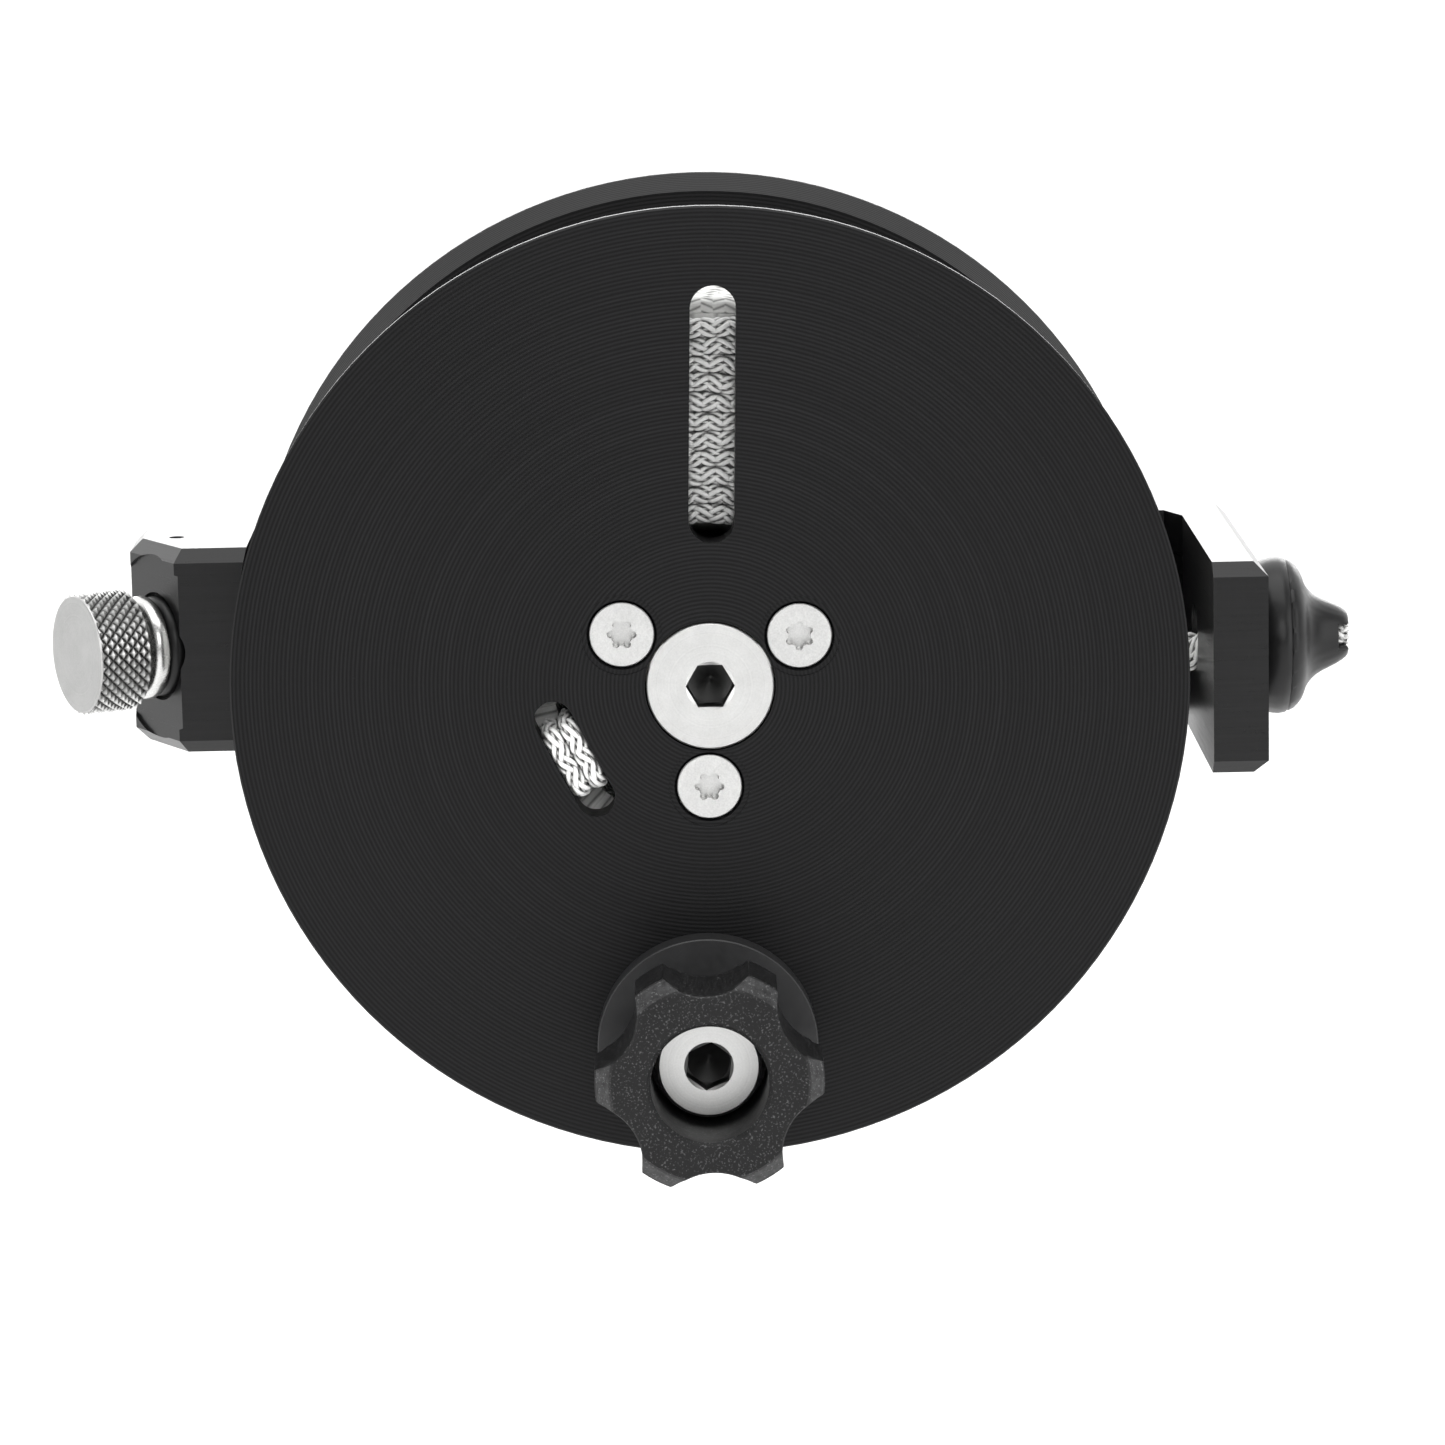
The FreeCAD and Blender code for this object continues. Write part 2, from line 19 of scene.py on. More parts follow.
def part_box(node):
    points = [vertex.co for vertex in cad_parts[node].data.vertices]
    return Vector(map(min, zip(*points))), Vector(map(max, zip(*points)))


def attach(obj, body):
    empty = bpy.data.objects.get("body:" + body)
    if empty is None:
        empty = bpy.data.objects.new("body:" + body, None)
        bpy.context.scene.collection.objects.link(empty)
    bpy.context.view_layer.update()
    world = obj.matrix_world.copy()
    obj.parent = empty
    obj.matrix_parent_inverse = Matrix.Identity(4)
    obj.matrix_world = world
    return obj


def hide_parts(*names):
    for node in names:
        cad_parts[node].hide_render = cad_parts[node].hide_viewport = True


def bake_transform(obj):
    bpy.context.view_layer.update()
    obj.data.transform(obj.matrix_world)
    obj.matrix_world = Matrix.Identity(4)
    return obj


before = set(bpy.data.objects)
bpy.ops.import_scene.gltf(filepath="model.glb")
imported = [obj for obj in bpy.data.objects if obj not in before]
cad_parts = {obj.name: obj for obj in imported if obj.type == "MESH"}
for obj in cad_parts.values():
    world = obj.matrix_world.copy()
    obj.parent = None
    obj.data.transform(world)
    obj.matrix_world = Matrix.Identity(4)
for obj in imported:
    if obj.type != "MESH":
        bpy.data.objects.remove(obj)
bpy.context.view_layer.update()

LOG = logging.getLogger("line_reel")
MM = 0.001
SHARP_ANGLE = math.radians(32)
SPOOL_TURN = math.radians(1.5)
FLANGE_FACE = -56.0
LINE_LEVEL = -33.0
FULL_TURN = 2 * math.pi

Ring = Callable[[float], tuple[float, float]]
Colour = tuple[float, float, float]


# Shader maths ----------------------------------------------------------------------------


class Signal:
    """One output of a node, which ordinary arithmetic extends with Math nodes."""

    def __init__(self, shader: "Shader", socket: bpy.types.NodeSocket) -> None:
        """Wrap an output socket.

        Args:
            shader: The node tree's builder.
            socket: The output that this signal reads.
        """
        self.shader = shader
        self.socket = socket

    def math(self, operation: str, *operands: "Signal | float") -> "Signal":
        """Add a Math node to the given operands, in order.

        Args:
            operation: The Math node's operation.
            operands: Up to three signals or numbers.

        Returns:
            The node's result.
        """
        inputs = dict(enumerate(operands))
        return self.shader.node("ShaderNodeMath", {"operation": operation}, inputs)

    def __add__(self, other: "Signal | float") -> "Signal":
        """Sum."""
        return self.math("ADD", self, other)

    __radd__ = __add__

    def __sub__(self, other: "Signal | float") -> "Signal":
        """Difference."""
        return self.math("SUBTRACT", self, other)

    def __rsub__(self, other: float) -> "Signal":
        """Difference from a number."""
        return self.math("SUBTRACT", other, self)

    def __mul__(self, other: "Signal | float") -> "Signal":
        """Product."""
        return self.math("MULTIPLY", self, other)

    __rmul__ = __mul__

    def __truediv__(self, other: "Signal | float") -> "Signal":
        """Quotient."""
        return self.math("DIVIDE", self, other)

    def sine(self) -> "Signal":
        """Sine of an angle in radians."""
        return self.math("SINE", self)

    def root(self) -> "Signal":
        """Square root."""
        return self.math("SQRT", self)

    def size(self) -> "Signal":
        """Absolute value."""
        return self.math("ABSOLUTE", self)

    def within(self, low: float, high: float) -> "Signal":
        """0 below low, 1 above high, and even between them."""
        node = {"data_type": "FLOAT", "clamp": True}
        return self.shader.node("ShaderNodeMapRange", node, {0: self, 1: low, 2: high})


class Shader:
    """The node tree of a material or of the world, built by name."""

    def __init__(self, owner: "bpy.types.Material | bpy.types.World") -> None:
        """Start a node tree.

        Args:
            owner: The new material or world.
        """
        owner.use_nodes = True
        self.owner = owner
        self.tree = owner.node_tree

    @classmethod
    def of(cls, name: str) -> "Shader":
        """The tree of a new material."""
        return cls(bpy.data.materials.new(name))

    def node(
        self,
        kind: str,
        settings: dict[str, object],
        inputs: dict[int | str, object],
        output: int | str = 0,
    ) -> Signal:
        """Add one node.

        Args:
            kind: The node's type.
            settings: Its properties, which are set first.
            inputs: Values or signals for its sockets, by name or number.
            output: The output to return.

        Returns:
            That output as a signal.
        """
        made = self.tree.nodes.new(kind)
        for key, value in settings.items():
            setattr(made, key, value)
        for key, value in inputs.items():
            self.feed(made.inputs[key], value)
        return Signal(self, made.outputs[output])

    def feed(self, socket: bpy.types.NodeSocket, value: object) -> None:
        """Link a signal to a socket, or set the socket's own value."""
        if isinstance(value, Signal):
            self.tree.links.new(value.socket, socket)
        else:
            socket.default_value = value

    def place(self) -> Signal:
        """The point on the object, in metres."""
        return self.node("ShaderNodeTexCoord", {}, {}, "Object")

    def uv(self) -> tuple[Signal, Signal]:
        """The two parts of the surface's own map."""
        flat = self.node("ShaderNodeUVMap", {"uv_map": "UVMap"}, {})
        u, v = (self.node("ShaderNodeSeparateXYZ", {}, {0: flat}, i) for i in range(2))
        return u, v

    def vectors(self, operation: str, first: object, second: object, out: str) -> Signal:
        """A Vector Math node on two vectors, read at its Vector or Value output."""
        inputs = {0: first, 1: second}
        return self.node("ShaderNodeVectorMath", {"operation": operation}, inputs, out)

    def axes(self, point: Signal) -> tuple[Signal, Signal, Signal]:
        """The three parts of a point or vector, in millimetres where it was in metres."""
        split = [self.node("ShaderNodeSeparateXYZ", {}, {0: point}, i) for i in range(3)]
        return split[0] / MM, split[1] / MM, split[2] / MM

    def vector(self, x: "Signal | float", y: "Signal | float", z: "Signal | float") -> Signal:
        """A vector from three numbers."""
        return self.node("ShaderNodeCombineXYZ", {}, {0: x, 1: y, 2: z})

    def noise(self, point: Signal, scale: float, detail: float = 3.0) -> Signal:
        """Soft random pattern from 0 to 1."""
        inputs = {"Vector": point, "Scale": scale, "Detail": detail, "Roughness": 0.6}
        return self.node("ShaderNodeTexNoise", {"noise_dimensions": "3D"}, inputs, "Fac")

    def occlusion_shade(self, reach_m: float) -> Signal:
        """Ambient occlusion for painting shade into a colour: 1 on open skin and lower in crevices
        no wider than the reach.
        """
        inputs = {"Distance": reach_m}
        return self.node("ShaderNodeAmbientOcclusion", {"samples": 6}, inputs, "AO")

    def blend(self, share: "Signal | float", low: Colour, high: Colour) -> Signal:
        """A colour between two, by a share from 0 to 1."""
        settings = {"data_type": "RGBA", "clamp_factor": True}
        inputs = {0: share, 6: (*low, 1.0), 7: (*high, 1.0)}
        return self.node("ShaderNodeMix", settings, inputs, 2)

    def finish(self, colour: Signal, roughness: Signal, height: Signal) -> bpy.types.Material:
        """Feed what varies over the surface.

        Args:
            colour: Base colour.
            roughness: Roughness.
            height: Height of the surface's relief, in metres.

        Returns:
            The finished material.
        """
        relief = {"Strength": 1.0, "Distance": 1.0, "Height": height}
        surface = self.tree.nodes["Principled BSDF"]
        self.feed(surface.inputs["Base Color"], colour)
        self.feed(surface.inputs["Roughness"], roughness)
        self.feed(surface.inputs["Normal"], self.node("ShaderNodeBump", {}, relief))
        return self.owner

    def fixed(self, **values: float) -> None:
        """Set constants on the surface's own sockets, underscores standing for spaces."""
        surface = self.tree.nodes["Principled BSDF"]
        for key, value in values.items():
            surface.inputs[key.replace("_", " ")].default_value = value


# Finishes --------------------------------------------------------------------------------


@dataclass(frozen=True)
class TurnedAnodising:
    """Black anodising over the fine rings that a lathe leaves."""

    name: str = "turned_black_anodising"
    dark: Colour = (0.002, 0.002, 0.0022)
    light: Colour = (0.0135, 0.0135, 0.0143)
    ring_pitch: float = 0.385
    ring_depth_m: float = 4.2e-6
    shine: float = 0.16

    def material(self) -> bpy.types.Material:
        """Rings about the spool's axis on the faces, and along it on the rims."""
        s = Shader.of(self.name)
        point = s.place()
        x, y, z = s.axes(point)
        radius = (x * x + z * z).root()
        along = radius + y * 0.9
        drift = s.noise(s.vector(radius * 0.9, y * 0.9, 0.0), 0.55)
        wave = ((along + drift * 0.25) * (2 * math.pi / self.ring_pitch)).sine()
        broad = s.noise(s.vector(radius * 1.0, 7.0, y), 1.3, 2.0)
        dust = s.noise(point, 2600.0, 1.0).within(0.78, 0.86)
        share = (wave * 0.42 + 0.38) * (broad * 0.9 + 0.35) + dust * 0.6
        colour = s.blend(share, self.dark, self.light)
        roughness = broad * 0.12 + 0.33
        s.fixed(Specular_IOR_Level=self.shine)
        return s.finish(colour, roughness, wave * self.ring_depth_m)


@dataclass(frozen=True)
class MilledAnodising:
    """Black anodising over the level streaks of a milling cutter."""

    name: str = "milled_black_anodising"
    dark: Colour = (0.0014, 0.0014, 0.0016)
    light: Colour = (0.0105, 0.0105, 0.0112)
    streak_m: float = 6.0e-6
    shine: float = 0.28

    def material(self) -> bpy.types.Material:
        """Streaks level on the upright faces, with a fine grain on every face."""
        s = Shader.of(self.name)
        point = s.place()
        x, y, z = s.axes(point)
        level = s.noise(s.vector(x * 0.12, y * 0.12, z * 4.5), 1.0, 4.0)
        lengthwise = s.noise(s.vector(x * 3.2, y * 0.1, z * 0.2), 1.0, 3.0)
        grain = s.noise(point, 5200.0, 2.0)
        dust = s.noise(point, 2300.0, 1.0).within(0.8, 0.86)
        share = level * 1.1 + lengthwise * 0.2 + grain * 0.2 - 0.42 + dust * 0.5
        colour = s.blend(share, self.dark, self.light)
        roughness = level * 0.12 + grain * 0.08 + 0.2
        height = level * self.streak_m + lengthwise * (self.streak_m * 0.3) + grain * 1.2e-6
        s.fixed(Specular_IOR_Level=self.shine)
        return s.finish(colour, roughness, height)


@dataclass(frozen=True)
class Stainless:
    """Stainless steel with a grain, turned about an axis that is given, with painted shade in
    sockets and knurl grooves where asked for.
    """

    name: str
    centre: tuple[float, float, float] = (0.0, 0.0, 0.0)
    axis: tuple[float, float, float] = (0.0, 1.0, 0.0)
    bright: Colour = (0.74, 0.74, 0.73)
    mottle: float = 0.4
    rough: float = 0.38
    rings: float = 0.5
    ring_pitch: float = 0.16
    grain_m: float = 2.6e-6
    # face and shade_depth: painted shade starts past this level along the axis and is full at
    # shade_depth; groove: radii and end of painted shade on a knurl
    face: float | None = None
    shade_depth: float = 1.0
    groove: tuple[float, float, float] | None = None

    def material(self) -> bpy.types.Material:
        """Grain and rings in colour, roughness and relief, with painted shade deep in a socket and
        in knurl grooves.
        """
        s = Shader.of(self.name)
        point = s.place()
        local = s.vectors("SUBTRACT", point, self.centre, "Vector")
        across = s.vectors("CROSS_PRODUCT", local, self.axis, "Vector")
        radius = s.vectors("LENGTH", across, self.axis, "Value") / MM
        rings = s.noise(s.vector(radius / self.ring_pitch, 0.0, 3.0), 1.0, 2.0)
        grain = s.noise(point, 6400.0, 3.0)
        patch = s.noise(point, 420.0, 3.0)
        share = rings * self.rings + grain * (1.0 - self.rings) + patch * 0.5 - 0.25
        tone = share.within(0.0, 1.0) * self.mottle + (1.0 - self.mottle)
        # Painted shade: past the face level the steel is darkened to 12 %, inside the socket and
        # the recess round it
        if self.face is not None:
            along = s.vectors("DOT_PRODUCT", local, self.axis, "Value") / MM
            inside = along.within(self.face + 0.1, self.face + self.shade_depth)
            tone = tone * (1.0 - inside * 0.88)
        # Painted shade: the knurl below the groove radii is darkened to 15 %, and the end face is
        # painted 30 % darker
        if self.groove is not None:
            low, high, end = self.groove
            along = s.vectors("DOT_PRODUCT", local, self.axis, "Value") / MM
            at_end = along.within(end - 0.1, end)
            painted_groove_shade = (1.0 - radius.within(low, high)) * (1.0 - at_end)
            tone = tone * (1.0 - painted_groove_shade * 0.85 - at_end * 0.3)
        colour = s.blend(tone, (0.0, 0.0, 0.0), self.bright)
        roughness = patch * 0.12 + grain * 0.08 + (self.rough - 0.1)
        height = grain * self.grain_m + rings * (self.rings * 1.1e-6)
        s.fixed(Metallic=1.0)
        return s.finish(colour, roughness, height)


@dataclass(frozen=True)
class Moulded:
    """Moulded black plastic or rubber, with specks of glass where it is filled."""

    name: str
    dark: Colour = (0.008, 0.008, 0.0085)
    light: Colour = (0.03, 0.03, 0.031)
    specks: float = 0.0
    mottle: float = 0.3
    rough: float = 0.42
    orange_peel_m: float = 4.0e-6
    shine: float = 0.4
    scuff: float = 0.0
    # axis x, axis z, radius and level of a painted highlight on a turned chamfer
    painted_rim_highlight: tuple[float, float, float, float] | None = None

    def material(self) -> bpy.types.Material:
        """Skin, specks and scuffs, and a painted highlight of lighter speckle on the turned chamfer
        outside a given radius.
        """
        s = Shader.of(self.name)
        point = s.place()
        x, y, z = s.axes(point)
        skin = s.noise(point, 1500.0, 3.0)
        broad = s.noise(point, 210.0, 2.0)
        speck = s.noise(point, 4600.0, 2.0).within(0.58, 0.7) * self.specks
        streak = s.noise(s.vector((x + z) * 0.5, y, (x - z) * 5.0), 1.1, 4.0)
        marks = streak.within(0.6, 0.8) * broad.within(0.5, 0.68) * self.scuff
        share = skin * self.mottle + broad * self.mottle + speck + marks
        # Painted highlight: outside the radius and in front of the level, the skin is lightened
        # with speckle on the chamfer and the lobe walls
        if self.painted_rim_highlight is not None:
            centre_x, centre_z, rim_r, rim_y = self.painted_rim_highlight
            aside, above = x - centre_x, z - centre_z
            outside = (aside * aside + above * above).root().within(rim_r, rim_r + 0.1)
            outside = outside * (1.0 - y.within(rim_y, rim_y + 0.05))
            share = share + outside * (skin * 0.55 - 0.1)
        colour = s.blend(share, self.dark, self.light)
        roughness = skin * 0.16 + speck * 0.1 + (self.rough - 0.08)
        height = skin * self.orange_peel_m + speck * (self.orange_peel_m * 0.8)
        s.fixed(Specular_IOR_Level=self.shine)
        return s.finish(colour, roughness, height)


@dataclass(frozen=True)
class YarnFinish:
    """White polyester yarn, with its filaments in relief and painted shade in the crevices between
    yarns.
    """

    name: str = "polyester_yarn"
    painted_gap_shade: Colour = (0.16, 0.16, 0.157)
    bright: Colour = (0.98, 0.98, 0.965)

    def material(self) -> bpy.types.Material:
        """Filaments run along each yarn, which the UV map follows."""
        s = Shader.of(self.name)
        u, v = s.uv()
        point = s.place()
        fibre = s.noise(s.vector(u * 34.0, v * 3.0, 0.0), 1.0, 2.0)
        fuzz = s.noise(point, 5200.0, 2.0)
        # Painted shade: ambient occlusion darkens the colour towards the gap colour in the crevices
        # between yarns
        crest = s.occlusion_shade(5.5e-4).within(0.42, 0.86)
        share = crest * (fibre * 0.2 + fuzz * 0.15 + 0.78)
        colour = s.blend(share, self.painted_gap_shade, self.bright)
        s.fixed(Specular_IOR_Level=0.3, Sheen_Weight=0.25)
        return s.finish(colour, fuzz * 0.2 + 0.5, fibre * 1.4e-5 + fuzz * 4.0e-6)


@dataclass(frozen=True)
class WoundLine:
    """Braided line wound on the spool, its plait drawn along and round the line, with painted shade
    in the gaps between its yarns.
    """

    name: str = "braided_line_plait"
    painted_gap_shade: Colour = (0.22, 0.22, 0.215)
    yarn: Colour = (0.88, 0.88, 0.86)
    float_length: float = 1.12
    rows: float = 8.0
    relief_m: float = 9.0e-5

    def material(self) -> bpy.types.Material:
        """Chevrons: u runs along the line in millimetres and v once round it."""
        s = Shader.of(self.name)
        u, v = s.uv()
        turn = 2 * math.pi
        band = (u * (turn / (2 * self.float_length))).sine()
        rising = ((v * self.rows - u * 0.5) * math.pi).sine().size()
        falling = ((v * self.rows + u * 0.5) * math.pi).sine().size()
        pick = band.within(-0.25, 0.25)
        plait = rising * pick + falling * (1.0 - pick)
        fuzz = s.noise(s.place(), 4200.0, 3.0)
        # The plait's yarn pattern, with painted shade in the gaps between the yarns
        colour = s.blend(plait.within(0.05, 0.75) * 0.85 + fuzz * 0.2, self.painted_gap_shade, self.yarn)
        s.fixed(Specular_IOR_Level=0.3, Sheen_Weight=0.25)
        return s.finish(colour, fuzz * 0.2 + 0.55, plait * self.relief_m + fuzz * 5.0e-6)


@dataclass(frozen=True)
class Acetal:
    """Natural white acetal of the bushes, washer and pad."""

    name: str = "natural_acetal"

    def material(self) -> bpy.types.Material:
        """A faint grain under a satin skin."""
        s = Shader.of(self.name)
        grain = s.noise(s.place(), 1800.0, 3.0)
        colour = s.blend(grain, (0.66, 0.64, 0.56), (0.78, 0.77, 0.71))
        return s.finish(colour, grain * 0.15 + 0.35, grain * 3.0e-6)


# Mesh tools ------------------------------------------------------------------------------


def circle(radius: float, along: float) -> Ring:
    """A ring with one radius and place at every angle."""
    return lambda angle: (radius, along)


def set_ring(verts: Iterable[bmesh.types.BMVert], ring: Ring) -> None:
    """Move a loop of vertices onto a ring about the Y axis, each at its own angle."""
    for vert in verts:
        angle = math.atan2(vert.co.z, vert.co.x)
        radius, along = ring(angle)
        vert.co = Vector((radius * math.cos(angle), along, radius * math.sin(angle)))


def loft(rings: Sequence[Ring], steps: int, closed: bool = False) -> bmesh.types.BMesh:
    """Skin a shape about the Y axis through a row of rings.

    Args:
        rings: The rings, in order.
        steps: Vertices in each ring.
        closed: Whether the last ring joins the first; otherwise both ends are capped.

    Returns:
        The new mesh, in millimetres.
    """
    bm = bmesh.new()
    upright = Matrix.Rotation(math.radians(90), 4, "X")
    bmesh.ops.create_circle(bm, cap_ends=False, segments=steps, radius=1.0, matrix=upright)
    first = bm.edges[:]
    set_ring(bm.verts, rings[0])
    edges = first
    for ring in rings[1:]:
        made = bmesh.ops.extrude_edge_only(bm, edges=edges)["geom"]
        verts = {g for g in made if isinstance(g, bmesh.types.BMVert)}
        edges = [
            g
            for g in made
            if isinstance(g, bmesh.types.BMEdge) and verts.issuperset(g.verts)
        ]
        set_ring(verts, ring)
    if closed:
        bmesh.ops.bridge_loops(bm, edges=first + edges)
    else:
        bmesh.ops.contextual_create(bm, geom=first)
        bmesh.ops.contextual_create(bm, geom=edges)
    return bm


def stand(name: str, mesh: bpy.types.Mesh, material: bpy.types.Material) -> bpy.types.Object:
    """A new object at the origin that shows a mesh in one finish."""
    mesh.materials.clear()
    mesh.materials.append(material)
    made = bpy.data.objects.new(name, mesh)
    bpy.context.scene.collection.objects.link(made)
    LOG.info("%s: %d faces", name, len(mesh.polygons))
    return made


def add_piece(
    name: str,
    bm: bmesh.types.BMesh,
    material: bpy.types.Material,
    place: Matrix | None = None,
    sharp: float = SHARP_ANGLE,
) -> bpy.types.Object:
    """Turn a mesh in millimetres into a piece of the object.

    Args:
        name: The piece's name.
        bm: The mesh, which is used up.
        material: Its finish.
        place: Where it goes, in millimetres; in place already if left out.
        sharp: Faces that meet at more than this keep a hard edge.

    Returns:
        The new object, at the origin, with its place in its mesh.
    """
    move = Matrix.Scale(MM, 4) @ (place or Matrix.Identity(4))
    bmesh.ops.transform(bm, matrix=move, verts=bm.verts)
    bmesh.ops.remove_doubles(bm, verts=bm.verts, dist=1e-8)
    bmesh.ops.recalc_face_normals(bm, faces=bm.faces)
    for face in bm.faces:
        face.smooth = True
    for edge in bm.edges:
        edge.smooth = edge.calc_face_angle(0.0) < sharp
    mesh = bpy.data.meshes.new(name)
    bm.to_mesh(mesh)
    bm.free()
    return stand(name, mesh, material)


def curve_mesh(name: str, lines: Sequence[Sequence[Vector]], radius: float) -> bpy.types.Mesh:
    """Round bars along lines of points, or bare lines where the radius is 0.

    Args:
        name: The mesh's name.
        lines: Points in millimetres.
        radius: The bars' radius in millimetres.

    Returns:
        One mesh in metres.
    """
    curve = bpy.data.curves.new(name, "CURVE")
    curve.dimensions = "3D"
    curve.bevel_depth = radius * MM
    curve.bevel_resolution = 1
    curve.use_fill_caps = True
    for line in lines:
        spline = curve.splines.new("POLY")
        spline.points.add(len(line) - 1)
        flat = [value for point in line for value in (*(point * MM), 1.0)]
        spline.points.foreach_set("co", flat)
    return mesh_of(name, curve)


def mesh_of(name: str, curve: bpy.types.Curve) -> bpy.types.Mesh:
    """The mesh that a curve makes; the curve is removed."""
    holder = bpy.data.objects.new(name, curve)
    bpy.context.scene.collection.objects.link(holder)
    graph = bpy.context.evaluated_depsgraph_get()
    mesh = bpy.data.meshes.new_from_object(holder.evaluated_get(graph))
    bpy.data.objects.remove(holder)
    bpy.data.curves.remove(curve)
    mesh.name = name
    return mesh


def smooth_route(points: Sequence[tuple[float, float, float]], spacing: float) -> list[Vector]:
    """Even points along a smooth line through a route's corners.

    Args:
        points: The route, in millimetres.
        spacing: Distance between the points that come back.

    Returns:
        Points in millimetres.
    """
    curve = bpy.data.curves.new("route", "CURVE")
    curve.dimensions = "3D"
    spline = curve.splines.new("NURBS")
    spline.points.add(len(points) - 1)
    spline.points.foreach_set("co", [value for p in points for value in (*p, 1.0)])
    spline.order_u = 3
    spline.use_endpoint_u = True
    spline.resolution_u = 40
    mesh = mesh_of("route", curve)
    line = [v.co.copy() for v in mesh.vertices]
    bpy.data.meshes.remove(mesh)
    even = [line[0]]
    left = spacing
    for start, end in zip(line, line[1:]):
        span = (end - start).length
        reach = left
        while reach <= span:
            even.append(start.lerp(end, reach / span))
            reach += spacing
        left = reach - span
    return even


def carried_frames(line: Sequence[Vector]) -> list[tuple[Vector, Vector]]:
    """Two directions across a line at each point, which turn with it and don't twist."""
    tangent = (line[1] - line[0]).normalized()
    across = tangent.orthogonal().normalized()
    frames = []
    for i, _ in enumerate(line):
        ahead = line[min(i + 1, len(line) - 1)] - line[max(i - 1, 0)]
        tangent = ahead.normalized()
        across = (across - tangent * across.dot(tangent)).normalized()
        frames.append((across.copy(), tangent.cross(across)))
    return frames


# The line --------------------------------------------------------------------------------


@dataclass(frozen=True)
class Braid:
    """A braided line: two sets of yarns that wind opposite ways, over two and under two."""

    yarns: int = 6
    lay: float = 8.0
    core_r: float = 0.63
    lift: float = 0.15
    yarn_r: float = 0.25
    spacing: float = 0.19
    dwell: float = 1.5

    def yarn_lines(self, line: Sequence[Vector], phase: float) -> list[list[Vector]]:
        """The middle of every yarn.

        Args:
            line: Even points along the line's middle, a spacing apart.
            phase: Where the plait starts, in radians.

        Returns:
            A row of points for each yarn.
        """
        frames = carried_frames(line)
        period = 2 * self.lay / self.yarns
        rows = []
        for way in (-1, 1):
            for i in range(self.yarns):
                start = phase + FULL_TURN * i / self.yarns
                row = []
                for k, (point, (across, aside)) in enumerate(zip(line, frames)):
                    run = k * self.spacing
                    swing = self.dwell * math.cos(FULL_TURN * run / period + phase * 3)
                    reach = self.core_r + way * self.lift * max(-1.0, min(1.0, swing))
                    angle = start + way * FULL_TURN * run / self.lay
                    spread = across * math.cos(angle) + aside * math.sin(angle)
                    row.append(point + spread * reach)
                rows.append(row)
        return rows

    def piece(
        self, name: str, lines: Sequence[Sequence[Vector]], material: bpy.types.Material
    ) -> bpy.types.Object:
        """Braid every line into one piece.

        Args:
            name: The piece's name.
            lines: The lines' middles, in millimetres.
            material: The yarns' finish.

        Returns:
            The new object.
        """
        draw = random.Random(name)
        phases = [draw.uniform(0, 6.2) for _ in lines]
        yarns = [y for line, phase in zip(lines, phases) for y in self.yarn_lines(line, phase)]
        mesh = curve_mesh(name, yarns, self.yarn_r)
        mesh.shade_smooth()
        return stand(name, mesh, material)


def about_spool(point: Vector, angle: float) -> Vector:
    """A point turned about the spool's axis, from +X towards +Z."""
    cos, sin = math.cos(angle), math.sin(angle)
    return Vector((point.x * cos - point.z * sin, point.y, point.x * sin + point.z * cos))


